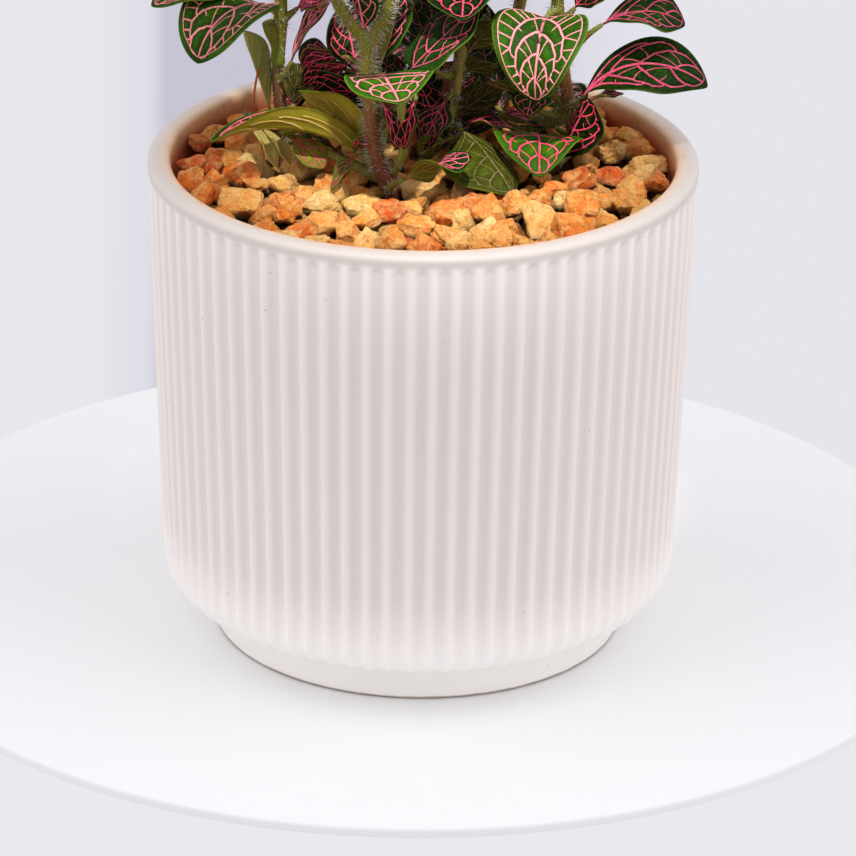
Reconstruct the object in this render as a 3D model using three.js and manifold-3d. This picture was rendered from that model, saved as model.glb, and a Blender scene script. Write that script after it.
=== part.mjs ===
// A potted nerve plant: a ribbed ceramic pot on a low foot, filled with soil, topped with crushed
// stone, and six leafy stems that stand in holes in the soil. Millimetres, +Z up. The origin is on
// the pot's axis at the height of the surface that the foot stands on. -Y is the front.
import * as THREE from 'three';
import { mergeVertices } from 'three/addons/utils/BufferGeometryUtils.js';
import Module from 'manifold-3d';

const wasm = await Module();
wasm.setup();
const { Manifold, Mesh: SolidMesh } = wasm;

// Driving dimensions of the pot
const POT_HEIGHT = 118.8;
const RIM_RADIUS = 65;
const RIM_INNER_RADIUS = 59.4;
const BODY_LOW_RADIUS = 61.8;
const BODY_LOW_HEIGHT = 19.4;
const BODY_LOW_FULLNESS = 0.85;
const FOOT_RADIUS = 49.2;
const FOOT_TOP_RADIUS = 49.6;
const FOOT_HEIGHT = 9.4;
const RECESS_DEPTH = 2.5;
const FLOOR_HEIGHT = 12;
const RIB_COUNT = 79;
const RIB_DEPTH = 0.9;
const RIB_TOP_BELOW_RIM = 2.3;
const RIB_RUN_OUT = 2;
const FIRST_RIB = 0.82;

// Driving dimensions of what fills the pot
const GAP = 0.35;
const SOIL_TOP = 104.8;
const FILL_RADIUS = RIM_INNER_RADIUS - GAP - 0.15;
const BED_TOP = 110.4;
const STONE_COUNT = 108;
const STONE_RADIUS = 5.1;
const STONE_RISE = 1.8;

// Driving dimensions of the plant
const STEM_RADIUS = 1.6;
const STEM_SIDES = 6;
const STEM_FOOT_HEIGHT = 90;
const STALK_RADIUS = 0.95;
const BLADE_THICKNESS = 0.75;
const LONG_LEAF = 26;
const SHORT_LEAF = 18.5;
const WAVE = 0.8;
const REACH = 67.5;
const LEAF_CLEARANCE = 3.2;
const STEM_CLEARANCE = 3.4;
const LEAF_FLOOR = 117.5;
const LEAF_OVER_RIM = POT_HEIGHT + 1.5;

const DEGREE = Math.PI / 180;

// The same numbers come out of every run
function makeDraw(start) {
  let state = start;
  return () => {
    state = (state * 16807) % 2147483647;
    return state / 2147483647;
  };
}

function solidOf(geometry) {
  geometry.deleteAttribute('normal');
  geometry.deleteAttribute('uv');
  const merged = mergeVertices(geometry);
  const vertProperties = new Float32Array(merged.attributes.position.array);
  const triVerts = new Uint32Array(merged.index.array);
  return new Manifold(new SolidMesh({ numProp: 3, vertProperties, triVerts }));
}

function geometryFrom(vertices, triangles) {
  const geometry = new THREE.BufferGeometry();
  geometry.setAttribute('position', new THREE.Float32BufferAttribute(vertices.flat(), 3));
  geometry.setIndex(triangles.flat());
  geometry.computeVertexNormals();
  return geometry;
}

function geometryOf(solid) {
  const mesh = solid.getMesh();
  const geometry = new THREE.BufferGeometry();
  geometry.setAttribute('position', new THREE.Float32BufferAttribute(mesh.vertProperties, 3));
  geometry.setIndex(Array.from(mesh.triVerts));
  geometry.computeVertexNormals();
  return geometry;
}

function piece(name, geometry, color, roughness) {
  const material = new THREE.MeshStandardMaterial({ color, roughness, metalness: 0 });
  const mesh = new THREE.Mesh(geometry, material);
  mesh.name = name;
  return mesh;
}

// The pot is one closed surface of rings, from the middle of the underside round the outside, over
// the rim and down to the inner floor. Ribs are narrow, with wide hollows between them: a ribbed ring
// has a point on each rib and two in the hollow after it, and a plain ring only the first of these.
function potRings() {
  const rings = [];
  const plain = (radius, z) => rings.push({ radius, z, depth: 0, ribbed: false });
  const ribbed = (radius, z, depth) => rings.push({ radius, z, depth, ribbed: true });
  plain(FOOT_RADIUS - 9, RECESS_DEPTH);
  plain(FOOT_RADIUS - 7.5, 0);
  plain(FOOT_RADIUS, 0);
  plain(FOOT_TOP_RADIUS, FOOT_HEIGHT);
  const bulge = BODY_LOW_RADIUS - FOOT_TOP_RADIUS;
  const drop = BODY_LOW_HEIGHT - FOOT_HEIGHT;
  for (const [angle, share] of [[75, 0.6], [42, 1], [0, 1]]) {
    const out = Math.cos(angle * DEGREE) ** BODY_LOW_FULLNESS;
    const down = Math.sin(angle * DEGREE) ** BODY_LOW_FULLNESS;
    ribbed(FOOT_TOP_RADIUS + bulge * out, BODY_LOW_HEIGHT - drop * down, RIB_DEPTH * share);
  }
  const ribTop = POT_HEIGHT - RIB_TOP_BELOW_RIM;
  ribbed(RIM_RADIUS - 0.1, ribTop - RIB_RUN_OUT, RIB_DEPTH);
  plain(RIM_RADIUS, ribTop);
  plain(RIM_RADIUS - 0.5, POT_HEIGHT - 1);
  plain(RIM_RADIUS - 1.8, POT_HEIGHT - 0.1);
  plain(RIM_INNER_RADIUS + 1.6, POT_HEIGHT);
  plain(RIM_INNER_RADIUS + 0.4, POT_HEIGHT - 0.8);
  plain(RIM_INNER_RADIUS, SOIL_TOP);
  plain(BODY_LOW_RADIUS - 6, BODY_LOW_HEIGHT + 6);
  plain(FOOT_TOP_RADIUS - 4, FLOOR_HEIGHT);
  return rings;
}

function ringPoints(ring) {
  const pitch = 2 * Math.PI / RIB_COUNT;
  const shares = ring.ribbed ? [0, 0.3, 0.7] : [0];
  const points = [];
  for (let rib = 0; rib < RIB_COUNT; rib += 1) {
    for (const share of shares) {
      const angle = (rib + FIRST_RIB + share) * pitch;
      const radius = share === 0 ? ring.radius : ring.radius - ring.depth;
      points.push([radius * Math.cos(angle), radius * Math.sin(angle), ring.z]);
    }
  }
  return points;
}

// Joins two rings, which have as many points each or one and three to a rib
function joinRings(lower, upper, triangles) {
  const [n, m] = [lower.count, upper.count];
  const low = (k) => lower.start + (k % n);
  const high = (k) => upper.start + (k % m);
  if (n === m) {
    for (let k = 0; k < n; k += 1) {
      triangles.push([low(k), low(k + 1), high(k + 1)], [low(k), high(k + 1), high(k)]);
    }
    return;
  }
  const [coarse, fine] = n < m ? [low, high] : [high, low];
  const turn = ([a, b, c]) => (n < m ? [a, c, b] : [a, b, c]);
  for (let k = 0; k < RIB_COUNT; k += 1) {
    const [c, d] = [coarse(k), coarse(k + 1)];
    const f = [0, 1, 2, 3].map((step) => fine(3 * k + step));
    triangles.push(turn([c, f[0], f[1]]), turn([c, f[1], d]));
    triangles.push(turn([d, f[1], f[2]]), turn([d, f[2], f[3]]));
  }
}

function makePot() {
  const vertices = [[0, 0, RECESS_DEPTH]];
  const triangles = [];
  const placed = potRings().map((ring) => {
    const points = ringPoints(ring);
    const start = vertices.length;
    vertices.push(...points);
    return { start, count: points.length };
  });
  const [first, last] = [placed[0], placed[placed.length - 1]];
  for (let k = 0; k < first.count; k += 1) {
    triangles.push([0, first.start + (k + 1) % first.count, first.start + k]);
  }
  for (let i = 1; i < placed.length; i += 1) {
    joinRings(placed[i - 1], placed[i], triangles);
  }
  const middle = vertices.push([0, 0, FLOOR_HEIGHT]) - 1;
  for (let k = 0; k < last.count; k += 1) {
    triangles.push([middle, last.start + k, last.start + (k + 1) % last.count]);
  }
  return geometryFrom(vertices, triangles);
}

// Middle lines of the stems, from their feet in the soil up
const STEM_ROUTES = {
  left: [[-33, 14, 90], [-33, 13, 105], [-34, 12, 125], [-34.5, 10, 138], [-34, 8, 147],
    [-34, 5, 158], [-37, 1, 178], [-39, -2, 194]],
  front: [[-5, -7, 90], [-6, -8, 105], [-7.5, -9, 113], [-10.5, -9.5, 120], [-12.5, -11, 136],
    [-13, -12, 149], [-9, -13, 159], [-7, -15, 174], [-6, -17, 189]],
  front_arm: [[-12.5, -11.5, 144], [-14, -12.5, 151], [-19, -14, 159], [-23, -17, 170],
    [-25, -19, 181]],
  middle: [[5, 18, 90], [6, 18, 105], [6.5, 18, 125], [8, 18, 133], [9, 17, 150],
    [11, 14, 175], [12, 11, 203]],
  right: [[38, 16, 90], [37, 15, 105], [35, 13.5, 124], [33.5, 12, 132], [31.5, 10, 144],
    [31, 8, 155], [34, 5, 178], [37, 3, 196]],
  back_left: [[-14, 36, 90], [-14, 37, 105], [-15, 39, 125], [-17, 41, 150], [-23, 43, 188]],
  back_right: [[18, 41, 90], [18, 42, 105], [20, 43, 125], [24, 45, 150], [27, 46, 192]],
};
const BRANCH_OF = { front_arm: 'front' };
const STEMS = Object.keys(STEM_ROUTES).filter((route) => !(route in BRANCH_OF));

// The lower leaves, each with the height of its root on the stem, the two ends of its midrib, its
// width, and in degrees the arch of the midrib, roll, fold along the midrib and twist towards the
// tip; belly is where along the blade it is widest
const LOWER_LEAVES = [
  { stem: 'left', root: 149, base: [-34.3, 5.5, 150.2], tip: [-52.6, -11.6, 144.9],
    width: 24.4, arch: 131, fold: 10, twist: -30, belly: 0.52 },
  { stem: 'left', root: 158, base: [-41, 5, 159], tip: [-64, 2, 154],
    width: 16, arch: 50, roll: -15 },
  { stem: 'left', root: 117, base: [-36.2, 11.3, 124.8], tip: [-42.3, 4.1, 147.5],
    width: 12.9, arch: -8, roll: 27, fold: 70, twist: 19, belly: 0.59 },
  { stem: 'left', root: 133, base: [-31.4, 6.1, 139.3], tip: [-21.4, 3, 156.6],
    width: 5.1, arch: 30, roll: 45, fold: 15, twist: -6, belly: 0.53 },
  { stem: 'left', root: 149, base: [-30, 5, 153], tip: [-20, 0, 160],
    width: 14, arch: 30, roll: 25 },
  { stem: 'front', root: 113, base: [-9.9, -4.4, 114.6], tip: [-49.5, -17.1, 127.4],
    width: 12.2, arch: 75, roll: 23, fold: 53, twist: -65, belly: 0.52 },
  { stem: 'front', root: 118, base: [-12, -4.9, 121.5], tip: [-29.5, -0.8, 134.7],
    width: 19.9, arch: 11, roll: 52, fold: 6, twist: -28, belly: 0.45 },
  { stem: 'front', root: 141, base: [-10, -15.4, 144.3], tip: [-5.5, -39.7, 146],
    width: 21.5, arch: 18, roll: 5, fold: 11, twist: 9 },
  { stem: 'front', root: 137, base: [-3.2, -12, 144.1], tip: [12.4, -5, 157.8],
    width: 25.7, arch: 8, roll: -5, fold: 1, twist: 18, belly: 0.32 },
  { stem: 'front', root: 113, base: [-4.3, -18.2, 119.7], tip: [11.3, -16.5, 124.7],
    width: 15.4, arch: 20, roll: -25, fold: -4, twist: 96, belly: 0.51 },
  { stem: 'front', root: 141, base: [-10.5, -9, 144], tip: [-6, -5, 161],
    width: 9, arch: -20, roll: -60, fold: 25 },
  { stem: 'front', root: 122, base: [-13.7, 2, 133], tip: [-28.3, 6, 130.6],
    width: 14, arch: 40, roll: 50, fold: 10 },
  { stem: 'front', root: 131, base: [-17, 0, 141.2], tip: [-28.5, 4, 134.1],
    width: 9, arch: 40, roll: 40 },
  { stem: 'middle', root: 113, base: [9, 4.5, 123.3], tip: [21.1, -14.5, 114.1],
    width: 24.1, arch: 36, roll: -11, fold: -26, twist: -30, belly: 0.48 },
  { stem: 'middle', root: 124, base: [7.6, 19.4, 120.5], tip: [18.7, 15.5, 131],
    width: 9, arch: 21, roll: -64, fold: -4, twist: -10, belly: 0.52 },
  { stem: 'middle', root: 116, base: [2, 22, 121], tip: [-14, 27, 121],
    width: 15, arch: 40, roll: 5 },
  { stem: 'middle', root: 141, base: [10.2, 14, 139.5], tip: [17.6, 12, 147.8],
    width: 13, arch: 25, roll: -50 },
  { stem: 'middle', root: 120, base: [5.4, 8, 129.6], tip: [0.1, 2, 119.2],
    width: 13, arch: 30, roll: 15 },
  { stem: 'right', root: 152, base: [28.2, 0.4, 153.1], tip: [26.2, -8.3, 135.5],
    width: 23.6, arch: 127, roll: -1, fold: 15, twist: 4, belly: 0.24 },
  { stem: 'right', root: 128, base: [37, 5.4, 131.2], tip: [66.5, 2.5, 135.7],
    width: 16.2, arch: 103, roll: 35, fold: -3, twist: -10, belly: 0.59 },
  { stem: 'right', root: 137, base: [41.4, 4.1, 150.3], tip: [60.9, 5.8, 149.8],
    width: 16.2, arch: 75, roll: 14, fold: 6, twist: 16, belly: 0.58 },
  { stem: 'right', root: 116, base: [31.8, 6, 115.5], tip: [39.2, 0, 132.9],
    width: 13.8, arch: 8, roll: -100, fold: 40, twist: 27 },
  { stem: 'right', root: 116, base: [26.8, 8.4, 120.2], tip: [27.3, -10.4, 117.4],
    width: 21.6, arch: 88, roll: 1, fold: 4, twist: 15, belly: 0.33 },
  { stem: 'right', root: 124, base: [25.8, 9, 128], tip: [14, 8, 134.2],
    width: 12, arch: 35, roll: 25 },
  { stem: 'right', root: 149, base: [35, 8, 153], tip: [43, 9, 160],
    width: 12, arch: 30, roll: 25 },
  { stem: 'back_left', root: 122, base: [-19.5, 36, 127], tip: [-30, 29, 131],
    width: 15, arch: 40, roll: -20 },
  { stem: 'back_left', root: 118, base: [-17, 33, 121], tip: [-28, 21, 125],
    width: 15, arch: 40, roll: -15 },
  { stem: 'back_left', root: 120, base: [-11, 44, 123], tip: [-2, 64, 123],
    width: 18, arch: 45 },
  { stem: 'back_right', root: 120, base: [13, 40, 123], tip: [-4, 33, 126],
    width: 17, arch: 45, roll: 10 },
  { stem: 'back_right', root: 118, base: [20, 49, 122], tip: [26, 66, 123],
    width: 16, arch: 45 },
  { stem: 'back_right', root: 119, base: [25, 37, 122], tip: [38, 24, 121],
    width: 16, arch: 45 },
];

// Above these heights a rule places the leaves in crossed pairs; turn is the heading of the first
const UPPER_LEAVES = {
  left: { from: 167, turn: 20 },
  front: { from: 167, turn: 80 },
  front_arm: { from: 168, turn: 30 },
  middle: { from: 152, turn: 75 },
  right: { from: 166, turn: 160 },
  back_left: { from: 146, turn: 100 },
  back_right: { from: 146, turn: 60 },
};
const UPPER_LOW = 119;
const UPPER_HIGH = 200;
const PAIR_SPACING = 15;
const PAIR_CLOSING = 5;
const LEAF_LENGTH = 31;
const LEAF_SHRINK = 12;
const LEAF_DROOP = -14;
const LEAF_LIFT = 52;
const CROWN_DEPTH = 12;
const CROWN_SHRINK = 6;
const CROWN_LIFT = 18;
const BUD_LENGTH = 11;
const BUD_TILT = 62;
const STALK_SHARE = 0.26;
const TURN_STEPS = [0, 14, -14, 28, -28, 42, -42];
const TILT_STEPS = [0, 14, -14, 28];
const SIZE_STEPS = [1, 0.85, 0.7];
const SAMPLE_ROWS = 15;
const SAMPLE_COLUMNS = 9;

// A leaf's midrib is an arc from base to tip in an upright plane. Its blade is an oval across that
// arc, folded at the midrib, with a waved edge.
class Leaf {
  constructor({ stem, root, base, tip, width, arch, roll = 0, fold = 5, twist = 0, belly = 0.5 }) {
    Object.assign(this, { stem, root, base, width });
    this.arch = arch * DEGREE;
    this.roll = roll * DEGREE;
    this.fold = fold * DEGREE;
    this.twist = twist * DEGREE;
    this.swell = Math.log(0.5) / Math.log(belly);
    const run = Math.hypot(tip[0] - base[0], tip[1] - base[1]);
    const chord = Math.hypot(run, tip[2] - base[2]);
    this.heading = Math.atan2(tip[1] - base[1], tip[0] - base[0]);
    this.lift = Math.atan2(tip[2] - base[2], run) + this.arch / 2;
    this.length = chord * (this.arch / 2) / Math.sin(this.arch / 2);
  }

  // The point at the share u along the midrib and v across the blade, raised off it by out
  point(u, v, out = 0) {
    const slope = this.lift - this.arch * u;
    const along = this.length * (Math.sin(this.lift) - Math.sin(slope)) / this.arch;
    const rise = this.length * (Math.cos(slope) - Math.cos(this.lift)) / this.arch;
    const [hx, hy] = [Math.cos(this.heading), Math.sin(this.heading)];
    const middle = [this.base[0] + hx * along, this.base[1] + hy * along, this.base[2] + rise];
    const level = [-hy, hx, 0];
    const upright = [-Math.sin(slope) * hx, -Math.sin(slope) * hy, Math.cos(slope)];
    const roll = this.roll + this.twist * (u - 0.5);
    const taper = u > 0 && u < 1 ? Math.sin(Math.PI * u ** this.swell) ** 0.75 : 0;
    const reach = v * 0.5 * this.width * taper;
    const phase = 1.5 * u + (v > 0 ? 0.25 : 0.6);
    const wave = WAVE * v * v * taper * Math.sin(2 * Math.PI * phase);
    const across = reach * Math.cos(this.fold);
    const up = Math.abs(reach) * Math.sin(this.fold) + wave + out;
    return middle.map((value, i) => {
      const side = Math.cos(roll) * level[i] + Math.sin(roll) * upright[i];
      const normal = Math.cos(roll) * upright[i] - Math.sin(roll) * level[i];
      return value + side * across + normal * up;
    });
  }

  samples() {
    const points = [];
    for (let i = 0; i < SAMPLE_ROWS; i += 1) {
      for (let j = 0; j < SAMPLE_COLUMNS; j += 1) {
        points.push(this.point(i / (SAMPLE_ROWS - 1), 2 * j / (SAMPLE_COLUMNS - 1) - 1));
      }
    }
    return points;
  }
}

function onStem(stem, z) {
  const route = STEM_ROUTES[stem];
  const index = route.findIndex((point) => z <= point[2]);
  if (index < 1) {
    return route[route.length - 1];
  }
  const [p, q] = [route[index - 1], route[index]];
  const share = (z - p[2]) / (q[2] - p[2]);
  return p.map((value, i) => value + share * (q[i] - value));
}

function stemSamples(stem) {
  const route = STEM_ROUTES[stem];
  const points = [];
  for (let z = route[0][2]; z < route[route.length - 1][2] + 0.1; z += 2) {
    points.push(onStem(stem, z));
  }
  return points;
}

function nearest(points, others) {
  let best = Infinity;
  for (const p of points) {
    for (const q of others) {
      const square = (p[0] - q[0]) ** 2 + (p[1] - q[1]) ** 2 + (p[2] - q[2]) ** 2;
      best = Math.min(best, square);
    }
  }
  return Math.sqrt(best);
}

// A leaf's sample points, with the ball that holds them
function cloudOf(leaf) {
  const points = leaf.samples();
  const middle = [0, 1, 2].map((i) => points.reduce((sum, point) => sum + point[i], 0) / points.length);
  const radius = Math.max(...points.map((point) => nearest([point], [middle])));
  return { points, middle, radius };
}

function tooClose(cloud, other) {
  const between = nearest([cloud.middle], [other.middle]) - cloud.radius - other.radius;
  return between < LEAF_CLEARANCE && nearest(cloud.points, other.points) < LEAF_CLEARANCE;
}

// One leaf of a crossed pair, on a short stalk that leaves the stem at the heading
function upperLeaf({ stem, height, heading, tilt, length, share, arch, roll }) {
  const root = onStem(stem, height);
  const [ahead, aside] = [Math.cos(heading * DEGREE), Math.sin(heading * DEGREE)];
  const [level, rise] = [Math.cos(tilt * DEGREE), Math.sin(tilt * DEGREE)];
  const stalk = STALK_SHARE * length;
  const stalkRise = stalk * Math.sin(tilt * DEGREE + 0.35);
  const base = [root[0] + ahead * stalk, root[1] + aside * stalk, root[2] + stalkRise];
  const along = [ahead * level, aside * level, rise];
  const tip = base.map((value, i) => value + length * along[i]);
  const width = share * length;
  return new Leaf({ stem, root: height, base, tip, width, arch, roll, fold: 8, belly: 0.45 });
}

// The crossed pairs of every stem before anything turns aside, from the top of the plant down
function plannedLeaves() {
  const draw = makeDraw(29);
  const planned = [];
  const add = (leaf) => {
    const [share, arch, roll] = [0.68 + 0.12 * draw(), 38 + 24 * draw(), 24 * (draw() - 0.5)];
    planned.push({ ...leaf, share, arch, roll });
  };
  for (const [stem, { from, turn }] of Object.entries(UPPER_LEAVES)) {
    const route = STEM_ROUTES[stem];
    const top = route[route.length - 1][2];
    let quarter = 0;
    for (let height = from; height < top - 3; quarter += 1) {
      const t = (height - UPPER_LOW) / (UPPER_HIGH - UPPER_LOW);
      const crown = top - height < CROWN_DEPTH;
      const length = LEAF_LENGTH - LEAF_SHRINK * t * t - (crown ? CROWN_SHRINK : 0);
      const tilt = LEAF_DROOP + LEAF_LIFT * t + (crown ? CROWN_LIFT : 0);
      for (const half of [0, 180]) {
        add({ stem, height, heading: turn + 90 * quarter + half, tilt, length });
      }
      height += PAIR_SPACING - PAIR_CLOSING * t;
    }
    for (const half of [0, 180]) {
      const heading = turn + 90 * quarter + half;
      add({ stem, height: top, heading, tilt: BUD_TILT, length: BUD_LENGTH });
    }
  }
  return planned.sort((a, b) => b.height - a.height);
}

// Each upper leaf turns, tilts or shrinks until it is clear of the leaves and stems placed so far
function placeLeaves() {
  const leaves = LOWER_LEAVES.map((entry) => new Leaf(entry));
  const clouds = leaves.map(cloudOf);
  const stems = Object.keys(STEM_ROUTES).map((stem) => ({ stem, points: stemSamples(stem) }));
  const nearRoot = 3 * SAMPLE_COLUMNS;
  const blocked = (leaf, cloud) => {
    for (const [x, y, z] of cloud.points) {
      const overWall = Math.hypot(x, y) > RIM_RADIUS - 8 && z < LEAF_OVER_RIM;
      if (Math.abs(x) > REACH || Math.abs(y) > REACH || z < LEAF_FLOOR || overWall) {
        return true;
      }
    }
    return clouds.some((other) => tooClose(cloud, other)) || stems.some(({ stem, points }) => (
      nearest(cloud.points.slice(stem === leaf.stem ? nearRoot : 0), points) < STEM_CLEARANCE));
  };
  const steps = SIZE_STEPS.flatMap((size) => TILT_STEPS.flatMap((tilt) => (
    TURN_STEPS.map((turn) => ({ size, tilt, turn })))));
  for (const plan of plannedLeaves()) {
    for (const { size, tilt, turn } of steps) {
      const heading = plan.heading + turn;
      const leaf = upperLeaf({ ...plan, heading, tilt: plan.tilt + tilt, length: plan.length * size });
      const cloud = cloudOf(leaf);
      if (!blocked(leaf, cloud)) {
        leaves.push(leaf);
        clouds.push(cloud);
        break;
      }
    }
  }
  return { leaves, clouds };
}

// Four corners round a point of the stalk, over, to one side, under and to the other side of it
function stalkRing(curve, share, leaf) {
  const centre = curve.getPoint(share);
  const ahead = curve.getTangent(share);
  const across = new THREE.Vector3(-Math.sin(leaf.heading), Math.cos(leaf.heading), 0);
  across.applyAxisAngle(ahead, leaf.roll - leaf.twist / 2);
  const over = ahead.clone().cross(across).setLength(STALK_RADIUS);
  const aside = over.clone().cross(ahead).setLength(STALK_RADIUS);
  return [[over, 1], [aside, 1], [over, -1], [aside, -1]].map(([direction, sign]) => (
    centre.clone().addScaledVector(direction, sign).toArray()));
}

// The stalk leaves the stem's middle and runs straight on into the midrib
function stalkCurve(leaf) {
  const start = new THREE.Vector3(...onStem(leaf.stem, leaf.root));
  const base = new THREE.Vector3(...leaf.point(0, 0));
  const ahead = new THREE.Vector3(...leaf.point(0.1, 0)).sub(base);
  const bend = base.clone().addScaledVector(ahead.normalize(), -0.45 * start.distanceTo(base));
  return new THREE.QuadraticBezierCurve3(start, bend, base);
}

// A stalk of square rings opens into the blade, whose two faces are split alike into triangles
function leafGeometry(leaf, rows, columns) {
  const curve = stalkCurve(leaf);
  const shares = [0, 0.6, 1];
  const vertices = shares.flatMap((share) => stalkRing(curve, share, leaf));
  const triangles = [[0, 1, 2], [0, 2, 3]];
  for (let ring = 0; ring < 4 * (shares.length - 1); ring += 4) {
    for (let k = 0; k < 4; k += 1) {
      const [a, b] = [ring + k, ring + (k + 1) % 4];
      triangles.push([a, b + 4, b], [a, a + 4, b + 4]);
    }
  }
  const [over, left, under, right] = [0, 1, 2, 3].map((k) => 4 * (shares.length - 1) + k);
  const half = BLADE_THICKNESS / 2 / Math.cos(leaf.fold);
  const faces = [half, -half].map((out) => {
    const first = vertices.length;
    for (let i = 1; i < rows; i += 1) {
      for (let j = 0; j <= columns; j += 1) {
        vertices.push(leaf.point(i / rows, 2 * j / columns - 1, out));
      }
    }
    const tip = vertices.push(leaf.point(1, 0, out)) - 1;
    return (i, j) => (i === rows ? tip : first + (i - 1) * (columns + 1) + j);
  });
  const [top, bottom] = faces;
  for (let j = 0; j < columns; j += 1) {
    triangles.push([over, top(1, j), top(1, j + 1)], [under, bottom(1, j + 1), bottom(1, j)]);
  }
  for (let i = 1; i < rows; i += 1) {
    for (let j = 0; j < columns; j += 1) {
      const [a, b, c, d] = [top(i, j), top(i + 1, j), top(i + 1, j + 1), top(i, j + 1)];
      const [e, f, g, h] = [bottom(i, j), bottom(i + 1, j), bottom(i + 1, j + 1), bottom(i, j + 1)];
      if (i < rows - 1) {
        triangles.push([a, b, c], [e, g, f]);
      }
      triangles.push([a, c, d], [e, h, g]);
    }
  }
  const edge = (j, side, turned) => {
    const push = ([a, b, c]) => triangles.push(turned ? [a, c, b] : [a, b, c]);
    push([over, top(1, j), side]);
    push([top(1, j), bottom(1, j), side]);
    push([bottom(1, j), under, side]);
    for (let i = 1; i < rows; i += 1) {
      push([top(i, j), top(i + 1, j), bottom(i + 1, j)]);
      push([top(i, j), bottom(i + 1, j), bottom(i, j)]);
    }
  };
  edge(columns, left, false);
  edge(0, right, true);
  return geometryFrom(vertices, triangles);
}

function roundShape(radius, sides) {
  const points = [];
  for (let k = 0; k < sides; k += 1) {
    const angle = 2 * Math.PI * k / sides;
    points.push(new THREE.Vector2(radius * Math.cos(angle), radius * Math.sin(angle)));
  }
  return new THREE.Shape(points);
}

function tube(curve, radius, sides, steps) {
  const shape = roundShape(radius, sides);
  return new THREE.ExtrudeGeometry(shape, { steps, extrudePath: curve, bevelEnabled: false });
}

function stemCurve(stem, footHeight) {
  const points = STEM_ROUTES[stem].map((point) => new THREE.Vector3(...point));
  points[0].z = footHeight;
  return new THREE.CatmullRomCurve3(points);
}

function stemSolid(stem, radius, footHeight) {
  const steps = STEM_ROUTES[stem].length + 3;
  return solidOf(tube(stemCurve(stem, footHeight), radius, STEM_SIDES, steps));
}

// A stem with the branch that leaves it, and the leaves of both
function makeLeafyStem(stem, leaves) {
  const routes = Object.keys(STEM_ROUTES).filter((route) => (BRANCH_OF[route] ?? route) === stem);
  const parts = routes.map((route) => stemSolid(route, STEM_RADIUS, STEM_ROUTES[route][0][2]));
  for (const leaf of leaves.filter((entry) => routes.includes(entry.stem))) {
    const rows = leaf.length > LONG_LEAF ? 5 : 4;
    const columns = leaf.length > SHORT_LEAF ? 4 : 2;
    parts.push(solidOf(leafGeometry(leaf, rows, columns)));
  }
  return geometryOf(Manifold.union(parts));
}

function stemHoles() {
  const footHeight = STEM_FOOT_HEIGHT - 1;
  return Manifold.union(STEMS.map((stem) => stemSolid(stem, STEM_RADIUS + GAP + 0.15, footHeight)));
}

// The soil fills the pot from the inner floor to just under the stones
function makeSoil(holes) {
  const bottom = FLOOR_HEIGHT + GAP;
  const profile = [[0, bottom], [FOOT_TOP_RADIUS - 5, bottom],
    [BODY_LOW_RADIUS - 6 - 2 * GAP, BODY_LOW_HEIGHT + 6], [FILL_RADIUS, SOIL_TOP], [0, SOIL_TOP]];
  const points = profile.map(([radius, z]) => new THREE.Vector2(radius, z));
  const turned = new THREE.LatheGeometry(points, 48);
  turned.rotateX(Math.PI / 2);
  return geometryOf(solidOf(turned).subtract(holes));
}

// A crushed stone is a block with its eight corners moved in and out
function stoneGeometry(draw, radius) {
  const block = new THREE.BoxGeometry(1.3, 1.3, 1.3);
  block.deleteAttribute('normal');
  block.deleteAttribute('uv');
  const merged = mergeVertices(block);
  const position = merged.attributes.position;
  const size = [0.9 + 0.25 * draw(), 0.75 + 0.2 * draw(), 0.75 + 0.15 * draw()];
  for (let i = 0; i < position.count; i += 1) {
    const dent = [0.65 + 0.55 * draw(), 0.65 + 0.55 * draw(), 0.8 + 0.3 * draw()];
    const corner = [position.getX(i), position.getY(i), position.getZ(i)];
    position.setXYZ(i, ...corner.map((value, axis) => value * radius * size[axis] * dent[axis]));
  }
  merged.rotateX(1.2 * (draw() - 0.5));
  merged.rotateY(1.2 * (draw() - 0.5));
  merged.rotateZ(2 * Math.PI * draw());
  return merged;
}

// What lies on the soil inside the wall, up to the given height
function fillDisc(top) {
  const disc = new THREE.CylinderGeometry(FILL_RADIUS, FILL_RADIUS, top - SOIL_TOP - GAP, 48);
  disc.rotateX(Math.PI / 2);
  disc.translate(0, 0, (top + SOIL_TOP + GAP) / 2);
  return solidOf(disc);
}

// The stones cover the soil in a spiral. One under a low leaf sinks until it is clear of the leaf.
function makeGravel(holes, clouds, leaves) {
  const draw = makeDraw(11);
  const low = clouds.flatMap((cloud) => cloud.points).filter((point) => point[2] < POT_HEIGHT + 4);
  for (const leaf of leaves) {
    low.push(...stalkCurve(leaf).getPoints(6).map((point) => point.toArray()));
  }
  const parts = [fillDisc(BED_TOP)];
  const goldenAngle = Math.PI * (3 - Math.sqrt(5));
  for (let k = 0; k < STONE_COUNT; k += 1) {
    const size = STONE_RADIUS * (0.8 + 0.3 * draw());
    const spread = FILL_RADIUS - 1.05 * size - 0.4;
    const distance = spread * Math.sqrt((k + 0.5) / STONE_COUNT);
    const [x, y] = [distance * Math.cos(k * goldenAngle), distance * Math.sin(k * goldenAngle)];
    const stone = stoneGeometry(draw, size);
    let z = BED_TOP + STONE_RISE * (0.4 + draw());
    const hit = () => nearest([[x, y, z]], low) < size + 0.9;
    while (hit() && z > BED_TOP - 3) {
      z -= 0.5;
    }
    if (!hit()) {
      stone.translate(x, y, z);
      parts.push(solidOf(stone));
    }
  }
  return geometryOf(Manifold.union(parts).intersect(fillDisc(LEAF_FLOOR + 4)).subtract(holes));
}

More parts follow.
